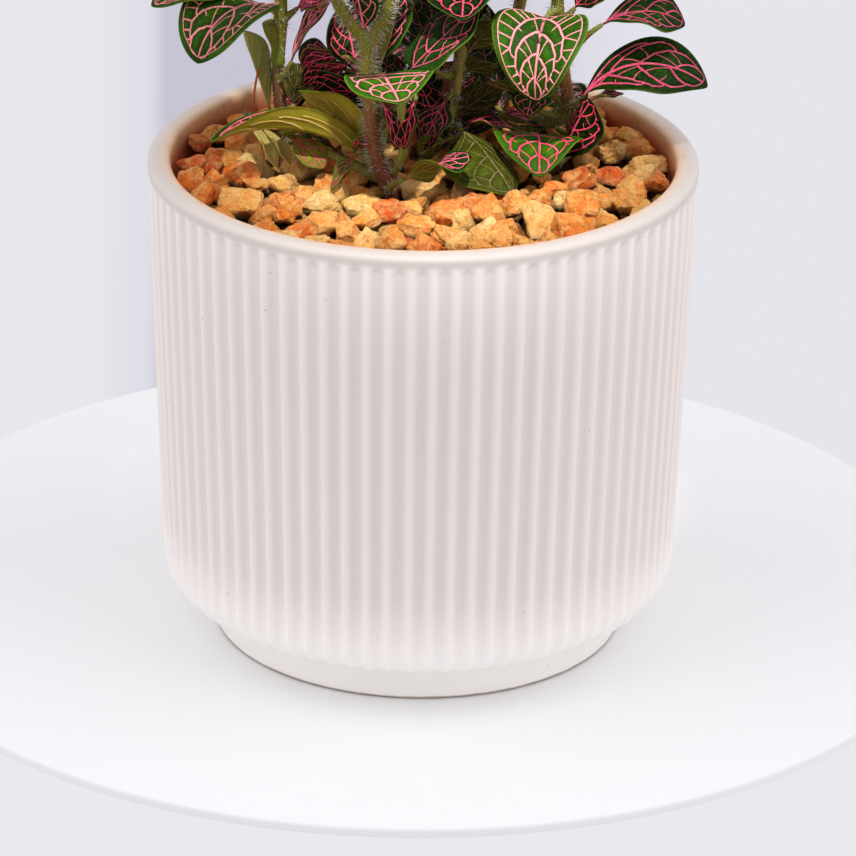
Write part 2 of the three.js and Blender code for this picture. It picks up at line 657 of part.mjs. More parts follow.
const { leaves, clouds } = placeLeaves();
const holes = stemHoles();
const plant = new THREE.Group();
plant.add(piece('pot', makePot(), 0xe6e0db, 0.5));
plant.add(piece('soil', makeSoil(holes), 0x2b2019, 0.95));
plant.add(piece('gravel', makeGravel(holes, clouds, leaves), 0xe0a05a, 0.85));
for (const stem of STEMS) {
  plant.add(piece(`leafy_stem_${stem}`, makeLeafyStem(stem, leaves), 0x2f5a1e, 0.6));
}

export default plant;
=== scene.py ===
# The looks of the potted nerve plant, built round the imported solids. Sizes in the functions are
# millimetres in the frame of the solids, and meshes are made in metres.
import math

import bmesh
import bpy
import numpy as np
from mathutils import Matrix, Vector


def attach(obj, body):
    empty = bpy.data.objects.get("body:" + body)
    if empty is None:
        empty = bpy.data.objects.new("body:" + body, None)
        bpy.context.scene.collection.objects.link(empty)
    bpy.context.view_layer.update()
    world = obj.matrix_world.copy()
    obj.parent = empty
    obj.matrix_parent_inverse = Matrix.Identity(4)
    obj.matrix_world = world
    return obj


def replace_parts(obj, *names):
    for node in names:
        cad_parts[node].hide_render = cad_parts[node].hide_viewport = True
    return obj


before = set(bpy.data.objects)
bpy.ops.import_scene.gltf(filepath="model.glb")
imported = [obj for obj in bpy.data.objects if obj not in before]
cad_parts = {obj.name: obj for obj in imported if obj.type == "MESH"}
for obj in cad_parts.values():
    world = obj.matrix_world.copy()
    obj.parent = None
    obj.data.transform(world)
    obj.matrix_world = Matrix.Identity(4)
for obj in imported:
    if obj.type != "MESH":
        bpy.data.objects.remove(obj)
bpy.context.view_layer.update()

MM = 0.001
RIM_RADIUS, RIM_INNER_RADIUS, POT_HEIGHT = 65, 59.4, 118.8
FILL_RADIUS = 58.9
SOIL_TOP = 105.2


# Meshes

def unit(vectors):
    return vectors / np.maximum(np.linalg.norm(vectors, axis=-1, keepdims=True), 1e-12)


def add_object(name, vertices, faces, materials, smooth=True):
    """A mesh object of points in millimetres."""
    mesh = bpy.data.meshes.new(name)
    mesh.from_pydata((vertices * MM).tolist(), [], faces)
    for material in materials:
        mesh.materials.append(material)
    mesh.polygons.foreach_set("use_smooth", np.full(len(mesh.polygons), smooth))
    piece = bpy.data.objects.new(name, mesh)
    bpy.context.scene.collection.objects.link(piece)
    return piece


class Shape:
    """Collects vertices, faces, materials and named values of one piece."""

    def __init__(self):
        self.vertices, self.faces, self.slots, self.values, self.count = [], [], [], {}, 0

    def add(self, vertices, faces, slot=0, **values):
        vertices = np.asarray(vertices, float).reshape(-1, 3)
        faces = np.asarray(faces)
        self.vertices.append(vertices)
        self.faces.append(faces + self.count)
        self.slots.append(np.full(len(faces), slot) if np.isscalar(slot) else np.asarray(slot))
        for name, value in values.items():
            value = np.asarray(value, float)
            size = (len(vertices), 3) if value.ndim and value.shape[-1] == 3 else (len(vertices),)
            self.values.setdefault(name, []).append(np.broadcast_to(value, size))
        self.count += len(vertices)

    def build(self, name, slot, materials, smooth=True):
        faces = [face for block in self.faces for face in block.tolist()]
        piece = add_object(name, np.concatenate(self.vertices), faces, materials, smooth)
        mesh = piece.data
        mesh.polygons.foreach_set("material_index", np.concatenate(self.slots).astype(np.int32))
        for key, blocks in self.values.items():
            data = np.concatenate(blocks).astype(np.float32)
            kind, field = ("FLOAT_VECTOR", "vector") if data.ndim == 2 else ("FLOAT", "value")
            attribute = mesh.attributes.new(key, kind, "POINT")
            attribute.data.foreach_set(field, data.ravel())
        mesh.update()
        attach(piece, "root")
        return piece


def ring_faces(rows, columns):
    """Quads between closed rings of points, row by row."""
    i, j = np.meshgrid(np.arange(rows - 1), np.arange(columns), indexing="ij")
    a, b = i * columns + j, i * columns + (j + 1) % columns
    return np.stack([a, b, b + columns, a + columns], -1).reshape(-1, 4)


def closed_body(rings, ends, crossed=None):
    """Points and triangles of a body through closed rings, with a point at either end.

    From the column "crossed" on, the quads are split along their other diagonal."""
    rows, columns = rings.shape[:2]
    points = np.concatenate([rings.reshape(-1, 3), ends])
    quads = ring_faces(rows, columns)
    if crossed is not None:
        other = np.tile(np.arange(columns) >= crossed, rows - 1)
        quads[other] = np.roll(quads[other], -1, axis=1)
    here = np.arange(columns)
    after, above, point = (here + 1) % columns, (rows - 1) * columns, np.full(columns, rows * columns)
    faces = np.concatenate([quads[:, [0, 1, 2]], quads[:, [0, 2, 3]], np.stack([point, after, here], 1),
                            np.stack([point + 1, above + here, above + after], 1)])
    a, b, c = (points[faces[:, k]] - points.mean(0) for k in range(3))
    inside_out = np.einsum("ij,ij", np.cross(a, b), c) < 0
    return points, faces[:, ::-1] if inside_out else faces


def lengths(line):
    """How far along a line each of its points lies."""
    return np.concatenate([[0], np.cumsum(np.linalg.norm(np.diff(line, axis=0), axis=1))])


def between(at, stops, line):
    """The points at some places along a line whose own points lie at the stops."""
    return np.stack([np.interp(at, stops, column) for column in np.asarray(line).T], -1)


def sphere_net(count):
    """Evenly spread directions and the triangles that join them."""
    k = np.arange(count) + 0.5
    z = 1 - 2 * k / count
    angle = math.pi * (1 + math.sqrt(5)) * k
    ring = np.sqrt(1 - z * z)
    directions = np.stack([ring * np.cos(angle), ring * np.sin(angle), z], 1)
    net = bmesh.new()
    corners = [net.verts.new(direction) for direction in directions]
    bmesh.ops.convex_hull(net, input=corners)
    net.verts.index_update()
    triangles = np.array([[corner.index for corner in face.verts] for face in net.faces])
    net.free()
    a, b, c = (directions[triangles[:, k]] for k in range(3))
    inward = np.einsum("ij,ij->i", np.cross(b - a, c - a), a) < 0
    triangles[inward] = triangles[inward][:, ::-1]
    return directions, triangles


# Materials

def linear(red, green, blue):
    """A colour of 0 to 255 as the shader's linear numbers."""
    values = [channel / 255 for channel in (red, green, blue)]
    return np.array([v / 12.92 if v <= 0.04045 else ((v + 0.055) / 1.055) ** 2.4 for v in values])


def colour(*rgb):
    return (*linear(*rgb), 1)


class Paint:
    """A material with one Principled shader, and short ways to add nodes."""

    def __init__(self, name, **uniform):
        self.material = bpy.data.materials.new(name)
        self.material.use_nodes = True
        self.tree = self.material.node_tree
        self.shader = self.tree.nodes["Principled BSDF"]
        for key, value in uniform.items():
            self.shader.inputs[key.replace("_", " ")].default_value = value
        self.place = self.node("ShaderNodeTexCoord").outputs["Object"]

    def node(self, kind, inputs=None, **settings):
        node = self.tree.nodes.new(kind)
        for key, value in settings.items():
            setattr(node, key, value)
        for key, value in (inputs or {}).items():
            if isinstance(value, bpy.types.NodeSocket):
                self.tree.links.new(value, node.inputs[key])
            else:
                node.inputs[key].default_value = value
        return node

    def noise(self, scale, detail=3, stretch=None, roughness=0.55):
        place = self.place
        if stretch:
            place = self.node("ShaderNodeVectorMath", {0: place, 1: stretch}, operation="MULTIPLY").outputs[0]
        inputs = {"Vector": place, "Scale": scale, "Detail": detail, "Roughness": roughness}
        return self.node("ShaderNodeTexNoise", inputs).outputs["Fac"]

    def math(self, operation, a, b=0.0, c=0.0):
        return self.node("ShaderNodeMath", {0: a, 1: b, 2: c}, operation=operation).outputs[0]

    def ease(self, value, low, high, to_low=0.0, to_high=1.0):
        inputs = {"Value": value, 1: low, 2: high, 3: to_low, 4: to_high}
        return self.node("ShaderNodeMapRange", inputs, interpolation_type="SMOOTHSTEP").outputs[0]

    def mix(self, factor, a, b, blend="MIX"):
        a, b = (colour(*tone) if isinstance(tone, tuple) else tone for tone in (a, b))
        inputs = {0: factor, 6: a, 7: b}
        return self.node("ShaderNodeMix", inputs, data_type="RGBA", blend_type=blend).outputs[2]

    def lay(self, tone, cover, mask, low, high, to_low=0.0, to_high=1.0):
        """Another tone laid over one, by how far a mask has come from low to high."""
        return self.mix(self.ease(mask, low, high, to_low, to_high), tone, cover)

    def value(self, name, output="Fac"):
        return self.node("ShaderNodeAttribute", attribute_name=name).outputs[output]

    def bump(self, height, distance, strength=1.0):
        inputs = {"Height": height, "Distance": distance * MM, "Strength": strength}
        normal = self.node("ShaderNodeBump", inputs).outputs[0]
        self.tree.links.new(normal, self.shader.inputs["Normal"])

    def connect(self, base, roughness=None):
        self.tree.links.new(base, self.shader.inputs["Base Color"])
        if roughness is not None:
            self.tree.links.new(roughness, self.shader.inputs["Roughness"])
        return self.material


def glaze_paint():
    paint = Paint("glazed_ceramic", Roughness=0.4, IOR=1.5)
    height = paint.node("ShaderNodeSeparateXYZ", {0: paint.place}).outputs[2]
    inside = paint.value("inside")
    streaks = paint.noise(1, 2, stretch=(220, 220, 6))
    tone = paint.lay((243, 234, 229), (241, 233, 225), streaks, 0.3, 0.7)
    tone = paint.lay(tone, (242, 234, 229), paint.noise(28, 2), 0.4, 0.7, 0, 0.5)
    # Partly painted shade: the rim band above 115 mm is painted warmer and darker. The warmth is the rim's
    # own glaze; the darkness tones down the lamps' light on the rim.
    tone = paint.lay(tone, (214, 204, 196), height, 0.115, 0.1165)
    # Painted reflection: the inner wall is painted orange low down and beige near the rim, as light bounced
    # off the orange gravel would tint it.
    painted_gravel_bounce = paint.lay((206, 92, 28), (238, 190, 144), height, 0.1125, 0.119)
    tone = paint.mix(inside, tone, painted_gravel_bounce)
    # Painted shade: the rib hollows are painted darker the deeper they are.
    tone = paint.lay(tone, (224, 214, 208), paint.value("hollow"), 0.1, 0.9, 0, 0.85)
    # Painted light: the foot and the lowest part of the body are painted near white to lift them out of their
    # shade.
    tone = paint.lay(tone, (255, 250, 246), height, 0.008, 0.035, 1, 0)
    dirt = paint.math("MULTIPLY", inside, paint.ease(paint.noise(380, 4), 0.56, 0.7, 0, 0.7))
    tone = paint.mix(dirt, tone, (186, 132, 92))
    tone = paint.lay(tone, (150, 128, 110), paint.noise(620, 1), 0.79, 0.81, 0, 0.35)
    uneven = paint.math("ADD", height, paint.math("MULTIPLY", paint.noise(200, 2), 0.0006))
    tone = paint.lay(tone, (176, 160, 146), uneven, 0.0007, 0.0012, 1, 0)
    paint.bump(paint.noise(90, 4), 0.25, 0.35)
    return paint.connect(tone, paint.ease(paint.noise(60, 2), 0.3, 0.7, 0.36, 0.46))


def soil_paint():
    paint = Paint("potting_soil", Roughness=0.95)
    crumbs = paint.noise(450, 5, roughness=0.7)
    paint.bump(crumbs, 1.5)
    return paint.connect(paint.lay((30, 22, 17), (88, 64, 46), crumbs, 0.35, 0.7))


def stone_paint():
    paint = Paint("crushed_stone", Roughness=0.8, Specular_IOR_Level=0.25)
    tint = paint.value("tint", "Color")
    warm, pitted, cracked = (paint.mix(1.0, tint, tone, "MULTIPLY")
                             for tone in ((255, 232, 200), (236, 172, 112), (190, 96, 50)))
    pale = paint.mix(0.3, tint, (255, 214, 132))
    grain = paint.noise(900, 6, roughness=0.8)
    cracks = paint.math("ABSOLUTE", paint.math("SUBTRACT", paint.noise(240, 6, roughness=0.6), 0.5))
    tone = paint.lay(pale, warm, paint.noise(230, 5, roughness=0.65), 0.42, 0.58)
    tone = paint.lay(tone, pitted, grain, 0.34, 0.5, 0.7, 0)
    tone = paint.lay(tone, cracked, cracks, 0.002, 0.02, 0.55, 0)
    tone = paint.lay(tone, (255, 212, 134), paint.noise(420, 4), 0.58, 0.7, 0, 0.35)
    # Painted highlight: the edges where a stone's breaks meet are painted paler.
    tone = paint.lay(tone, (255, 216, 144), paint.value("edge"), 0.4, 0.95, 0, 0.4)
    tone = paint.mix(paint.value("shaded"), tone, (24, 11, 5))
    paint.bump(paint.math("ADD", grain, paint.math("MULTIPLY", paint.noise(330, 3), 1.3)), 1.5)
    return paint.connect(tone)


def leaf_paint():
    paint = Paint("leaf_upper_side", Roughness=0.6, Specular_IOR_Level=0.07)
    green = paint.value("tint", "Color")
    fine = paint.noise(1400, 3, roughness=0.7)
    deep = paint.mix(1.0, green, (104, 114, 140), "MULTIPLY")
    edge = paint.mix(0.45, green, (130, 150, 50))
    shade = paint.lay(green, deep, paint.noise(140, 2), 0.3, 0.7, 0, 0.5)
    shade = paint.lay(shade, (96, 130, 24), fine, 0.45, 0.75, 0, 0.35)
    # Painted shade: the blade is painted darker in the creases along the veins and stays lighter on the
    # swollen cells between them.
    shade = paint.lay(shade, deep, paint.value("swell"), 0.1, 0.8, 0.5, 0)
    shade = paint.lay(shade, edge, paint.value("margin"), 0.93, 1.0, 0, 0.9)
    paint.bump(fine, 0.12, 0.7)
    return paint.connect(shade)


def underside_paint():
    paint = Paint("leaf_underside", Roughness=0.7, Specular_IOR_Level=0.07)
    tint = paint.value("below", "Color")
    green, pale = paint.mix(0.6, tint, (100, 112, 30)), paint.mix(0.4, tint, (176, 164, 80))
    fine = paint.noise(900, 3)
    shade = paint.lay(tint, green, paint.noise(160, 3), 0.3, 0.7, 0, 0.45)
    shade = paint.lay(shade, pale, fine, 0.4, 0.7, 0, 0.3)
    paint.bump(fine, 0.12, 0.6)
    return paint.connect(shade)


def vein_paint():
    paint = Paint("leaf_veins", Roughness=0.6, Specular_IOR_Level=0.1)
    tint = paint.value("tint", "Color")
    return paint.connect(paint.lay(tint, (250, 190, 190), paint.noise(700, 2), 0.35, 0.7, 0, 0.16))


def stem_paint():
    paint = Paint("hairy_stem", Roughness=0.65, Specular_IOR_Level=0.1)
    tint = paint.value("tint", "Color")
    shade = paint.lay(tint, (120, 66, 44), paint.noise(1, 3, stretch=(900, 900, 90)), 0.35, 0.65, 0, 0.45)
    shade = paint.lay(shade, (176, 150, 104), paint.noise(1100, 2), 0.6, 0.7, 0, 0.5)
    paint.bump(paint.noise(1, 3, stretch=(1200, 1200, 200)), 0.15, 0.6)
    return paint.connect(shade)


def hair_paint():
    paint = Paint("stem_hairs", Roughness=0.5)
    return paint.connect(paint.mix(paint.noise(300, 1), (244, 242, 236), (214, 208, 194)))


def floor_paint():
    paint = Paint("floor_white", Roughness=0.6)
    return paint.connect(paint.mix(paint.noise(6, 1), (241, 242, 242), (239, 240, 240)))


# Pot

RIB_COUNT, RIB_DEPTH, FIRST_RIB = 79, 0.9, 0.82
RIB_SHARES = (0, 0.04, 0.09, 0.16, 0.25, 0.37, 0.5, 0.63, 0.75, 0.84, 0.91, 0.96)
HOLLOW_FULLNESS = 0.65
BODY_LOW_RADIUS, BODY_LOW_HEIGHT, BODY_LOW_FULLNESS = 61.8, 19.4, 0.85
FOOT_TOP_RADIUS, FOOT_HEIGHT = 49.6, 9.4
UNDERSIDE, POT_FLOOR = 2.5, 12
FOOT_PROFILE = [(20, UNDERSIDE), (39.2, UNDERSIDE), (40, 2.3), (41, 0.4), (41.6, 0.05), (42.4, 0), (48.3, 0),
                (48.8, 0.12), (49.1, 0.4), (49.22, 1), (49.5, 7.4), (49.58, 9)]
RIM_PROFILE = [(65, 117.2), (64.93, 117.7), (64.7, 118.15), (64.3, 118.5), (63.7, 118.72), (62.9, 118.8),
               (61.4, 118.8), (60.5, 118.7), (59.95, 118.4), (59.6, 117.9), (59.45, 117), (59.4, 112),
               (59.4, 104.8), (56, 25.5), (54, 17), (45.8, POT_FLOOR)]
# Where the ribs end below the rim
SCOOP_TOP, SCOOP_EASE = POT_HEIGHT - 2.3, 2.4


def pot_profile():
    """Radius, height and share of the rib's depth, from the underside round the outside to the floor."""
    rows = [(radius, height, 0) for radius, height in FOOT_PROFILE]
    bulge, drop = BODY_LOW_RADIUS - FOOT_TOP_RADIUS, BODY_LOW_HEIGHT - FOOT_HEIGHT
    for degrees in (88, 82, 76, 70, 64, 57, 50, 43, 36, 29, 22, 15, 8, 0):
        angle = math.radians(degrees)
        radius = FOOT_TOP_RADIUS + bulge * math.cos(angle) ** BODY_LOW_FULLNESS
        share = min(1, (90 - degrees) / 34) ** 0.8
        rows.append((radius, BODY_LOW_HEIGHT - drop * math.sin(angle) ** BODY_LOW_FULLNESS, share))
    top = SCOOP_TOP - 6
    for step in range(1, 12):
        t = step / 11
        height = BODY_LOW_HEIGHT + (top - BODY_LOW_HEIGHT) * t
        rows.append((BODY_LOW_RADIUS + (RIM_RADIUS - 0.1 - BODY_LOW_RADIUS) * t, height, 1))
    for below in (4.8, 3.8, 3, 2.4, 1.9, 1.5, 1.1, 0.7, 0.3, -0.1):
        rows.append((RIM_RADIUS - 0.1, SCOOP_TOP - below, 1))
    return rows + [(radius, height, 0) for radius, height in RIM_PROFILE]


def make_pot():
    rng = np.random.default_rng(3)
    ribs = np.repeat(np.arange(RIB_COUNT), len(RIB_SHARES))
    share = np.tile(RIB_SHARES, RIB_COUNT)
    shift = rng.normal(0, 0.012, RIB_COUNT)
    wobble = shift[ribs] * (1 - share) + shift[(ribs + 1) % RIB_COUNT] * share
    angle = (ribs + FIRST_RIB + share + wobble) * 2 * math.pi / RIB_COUNT
    hollow = np.sin(math.pi * share) ** (2 * HOLLOW_FULLNESS) * (1 + rng.normal(0, 0.03, RIB_COUNT)[ribs])
    start = SCOOP_TOP - 0.9 * (1 - 2 * share) ** 2
    rings, depths, inside, over_rim = [], [], [], False
    for radius, height, ribbed in pot_profile():
        scoop = np.clip((start - height) / SCOOP_EASE, 0, 1)
        depth = ribbed * (scoop * scoop * (3 - 2 * scoop)) * hollow
        r = radius - RIB_DEPTH * depth
        rings.append(np.stack([r * np.cos(angle), r * np.sin(angle), np.full(len(r), height)], 1))
        depths.append(depth)
        over_rim = over_rim or height > POT_HEIGHT - 0.05
        inside.append(np.full(len(r), np.clip((62.6 - radius) / 3.4, 0, 1) if over_rim else 0.0))
    points, faces = closed_body(np.array(rings), [[0, 0, UNDERSIDE], [0, 0, POT_FLOOR]])
    shape = Shape()
    shape.add(points, faces, hollow=np.append(depths, [0, 0]), inside=np.append(inside, [0, 1]))
    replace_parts(shape.build("pot_glazed", "pot", [glaze_paint()]), "pot")


# Stems and leaves, placed as in the solids

ROUTES = {
    "left": [(-33, 14, 90), (-33, 13, 105), (-34, 12, 125), (-34.5, 10, 138), (-34, 8, 147),
             (-34, 5, 158), (-37, 1, 178), (-39, -2, 194)],
    "front": [(-5, -7, 90), (-6, -8, 105), (-7.5, -9, 113), (-10.5, -9.5, 120), (-12.5, -11, 136),
              (-13, -12, 149), (-9, -13, 159), (-7, -15, 174), (-6, -17, 189)],
    "front_arm": [(-12.5, -11.5, 144), (-14, -12.5, 151), (-19, -14, 159), (-23, -17, 170),
                  (-25, -19, 181)],
    "middle": [(5, 18, 90), (6, 18, 105), (6.5, 18, 125), (8, 18, 133), (9, 17, 150),
               (11, 14, 175), (12, 11, 203)],
    "right": [(38, 16, 90), (37, 15, 105), (35, 13.5, 124), (33.5, 12, 132), (31.5, 10, 144),
              (31, 8, 155), (34, 5, 178), (37, 3, 196)],
    "back_left": [(-14, 36, 90), (-14, 37, 105), (-15, 39, 125), (-17, 41, 150), (-23, 43, 188)],
    "back_right": [(18, 41, 90), (18, 42, 105), (20, 43, 125), (24, 45, 150), (27, 46, 192)],
}
BRANCH_OF = {"front_arm": "front"}
STEMS = [route for route in ROUTES if route not in BRANCH_OF]
STEM_RADIUS = 1.6
UPPER = {"left": (167, 20), "front": (167, 80), "front_arm": (168, 30), "middle": (152, 75),
         "right": (166, 160), "back_left": (146, 100), "back_right": (146, 60)}
WAVE, REACH, LEAF_FLOOR, LEAF_OVER_RIM = 0.8, 67.5, 117.5, 120.3
LEAF_CLEARANCE, STEM_CLEARANCE = 3.2, 3.4
SAMPLE_ROWS, SAMPLE_COLUMNS = 15, 9


class Leaf:
    """A leaf's midrib is an arc in an upright plane, and its blade an oval across that arc."""

    def __init__(self, stem, root, look, base, tip, width, arch, roll=0, fold=5, twist=0, belly=0.5):
        self.stem, self.root, self.look, self.width = stem, root, look, width
        self.base = np.array(base, float)
        self.arch, self.roll = math.radians(arch), math.radians(roll)
        self.fold, self.twist = math.radians(fold), math.radians(twist)
        self.swell = math.log(0.5) / math.log(belly)
        self.draw_in = 0.08 if belly < 0.45 else 0.36
        run = math.hypot(tip[0] - base[0], tip[1] - base[1])
        chord = math.hypot(run, tip[2] - base[2])
        self.heading = math.atan2(tip[1] - base[1], tip[0] - base[0])
        self.lift = math.atan2(tip[2] - base[2], run) + self.arch / 2
        self.length = chord * (self.arch / 2) / math.sin(self.arch / 2)

    def half_width(self, u):
        inside = (u > 0) & (u < 1)
        safe = np.where(inside, u, 0.5)
        return np.where(inside, np.sin(math.pi * safe**self.swell) ** 0.75, 0) * 0.5 * self.width

    def narrow(self, u):
        """The share of the width that shows: most blades draw in towards the stalk."""
        return 1 - (1 - np.clip(np.asarray(u, float) / self.draw_in, 0, 1)) ** 2

    def seen_width(self, u):
        return self.half_width(np.asarray(u, float)) * self.narrow(u)

    def point(self, u, v, out=0.0):
        u, v = np.broadcast_arrays(np.asarray(u, float), np.asarray(v, float))
        slope = self.lift - self.arch * u
        along = self.length * (math.sin(self.lift) - np.sin(slope)) / self.arch
        rise = self.length * (np.cos(slope) - math.cos(self.lift)) / self.arch
        hx, hy = math.cos(self.heading), math.sin(self.heading)
        middle = np.stack([self.base[0] + hx * along, self.base[1] + hy * along, self.base[2] + rise], -1)
        level = np.array([-hy, hx, 0])
        upright = np.stack([-np.sin(slope) * hx, -np.sin(slope) * hy, np.cos(slope)], -1)
        roll = (self.roll + self.twist * (u - 0.5))[..., None]
        reach = v * self.half_width(u)
        taper = reach / np.where(v == 0, 1, v * 0.5 * self.width)
        phase = 1.5 * u + np.where(v > 0, 0.25, 0.6)
        wave = WAVE * v * v * taper * np.sin(2 * math.pi * phase)
        across = (reach * math.cos(self.fold))[..., None]
        up = (np.abs(reach) * math.sin(self.fold) + wave + out)[..., None]
        side = np.cos(roll) * level + np.sin(roll) * upright
        normal = np.cos(roll) * upright - np.sin(roll) * level
        return middle + side * across + normal * up

    def samples(self):
        rows = np.arange(SAMPLE_ROWS) / (SAMPLE_ROWS - 1)
        columns = 2 * np.arange(SAMPLE_COLUMNS) / (SAMPLE_COLUMNS - 1) - 1
        return self.point(rows[:, None], columns[None, :]).reshape(-1, 3)


def on_stem(stem, z):
    route = ROUTES[stem]
    index = next((i for i, point in enumerate(route) if z <= point[2]), -1)
    if index < 1:
        return np.array(route[-1], float)
    p, q = np.array(route[index - 1], float), np.array(route[index], float)
    return p + (z - p[2]) / (q[2] - p[2]) * (q - p)


def nearest(points, others):
    gaps = np.asarray(points)[:, None, :] - np.asarray(others)[None, :, :]
    return math.sqrt((gaps**2).sum(-1).min())


# The lower leaves, one by one, as the solids have them: stem, height of the root, look, ends of the
# blade, width, and in degrees arch, roll, fold and twist, then where along the blade it is widest
LOWER_LEAVES = [
    ("left", 149, "dusty", (-34.3, 5.5, 150.2), (-52.6, -11.6, 144.9), 24.4, 131, 0, 10, -30, 0.52),
    ("left", 158, "dusty", (-41, 5, 159), (-64, 2, 154), 16, 50, -15),
    ("left", 117, "strip", (-36.2, 11.3, 124.8), (-42.3, 4.1, 147.5), 12.9, -8, 27, 70, 19, 0.59),
    ("left", 133, "crowded", (-31.4, 6.1, 139.3), (-21.4, 3, 156.6), 5.1, 30, 45, 15, -6, 0.53),
    ("left", 149, "flushed", (-30, 5, 153), (-20, 0, 160), 14, 30, 25),
    ("front", 113, "olive", (-9.9, -4.4, 114.6), (-49.5, -17.1, 127.4), 12.2, 75, 23, 53, -65, 0.52),
    ("front", 118, "olive", (-12, -4.9, 121.5), (-29.5, -0.8, 134.7), 19.9, 11, 52, 6, -28, 0.45),
    ("front", 141, "bright", (-10, -15.4, 144.3), (-5.5, -39.7, 146), 21.5, 18, 5, 11, 9),
    ("front", 137, "hot", (-3.2, -12, 144.1), (12.4, -5, 157.8), 25.7, 8, -5, 1, 18, 0.32),
    ("front", 113, "hot", (-4.3, -18.2, 119.7), (11.3, -16.5, 124.7), 15.4, 20, -25, -4, 96, 0.51),
    ("front", 141, "salmon", (-10.5, -9, 144), (-6, -5, 161), 9, -20, -60, 25),
    ("front", 122, "dark over", (-13.7, 2, 133), (-28.3, 6, 130.6), 14, 40, 50, 10),
    ("front", 131, "dark over", (-17, 0, 141.2), (-28.5, 4, 134.1), 9, 40, 40),
    ("middle", 113, "old", (9, 4.5, 123.3), (21.1, -14.5, 114.1), 24.1, 36, -11, -26, -30, 0.48),
    ("middle", 124, "shadow", (7.6, 19.4, 120.5), (18.7, 15.5, 131), 9, 21, -64, -4, -10, 0.52),
    ("middle", 116, "dark", (2, 22, 121), (-14, 27, 121), 15, 40, 5),
    ("middle", 141, "shadow", (10.2, 14, 139.5), (17.6, 12, 147.8), 13, 25, -50),
    ("middle", 120, "dark", (5.4, 8, 129.6), (0.1, 2, 119.2), 13, 30, 15),
    ("right", 152, "pale", (28.2, 0.4, 153.1), (26.2, -8.3, 135.5), 23.6, 127, -1, 15, 4, 0.24),
    ("right", 128, "hot", (37, 5.4, 131.2), (66.5, 2.5, 135.7), 16.2, 103, 35, -3, -10, 0.59),
    ("right", 137, "hot", (41.4, 4.1, 150.3), (60.9, 5.8, 149.8), 16.2, 75, 14, 6, 16, 0.58),
    ("right", 116, "dark over", (31.8, 6, 115.5), (39.2, 0, 132.9), 13.8, 8, -100, 40, 27),
    ("right", 116, "fresh", (26.8, 8.4, 120.2), (27.3, -10.4, 117.4), 21.6, 88, 1, 4, 15, 0.33),
    ("right", 124, "dark", (25.8, 9, 128), (14, 8, 134.2), 12, 35, 25),
    ("right", 149, "dark", (35, 8, 153), (43, 9, 160), 12, 30, 25),
    ("back_left", 122, "dark", (-19.5, 36, 127), (-30, 29, 131), 15, 40, -20),
    ("back_left", 118, "dark", (-17, 33, 121), (-28, 21, 125), 15, 40, -15),
    ("back_left", 120, "hot", (-11, 44, 123), (-2, 64, 123), 18, 45),
    ("back_right", 120, "dark", (13, 40, 123), (-4, 33, 126), 17, 45, 10),
    ("back_right", 118, "hot", (20, 49, 122), (26, 66, 123), 16, 45),
    ("back_right", 119, "hot", (25, 37, 122), (38, 24, 121), 16, 45),
]
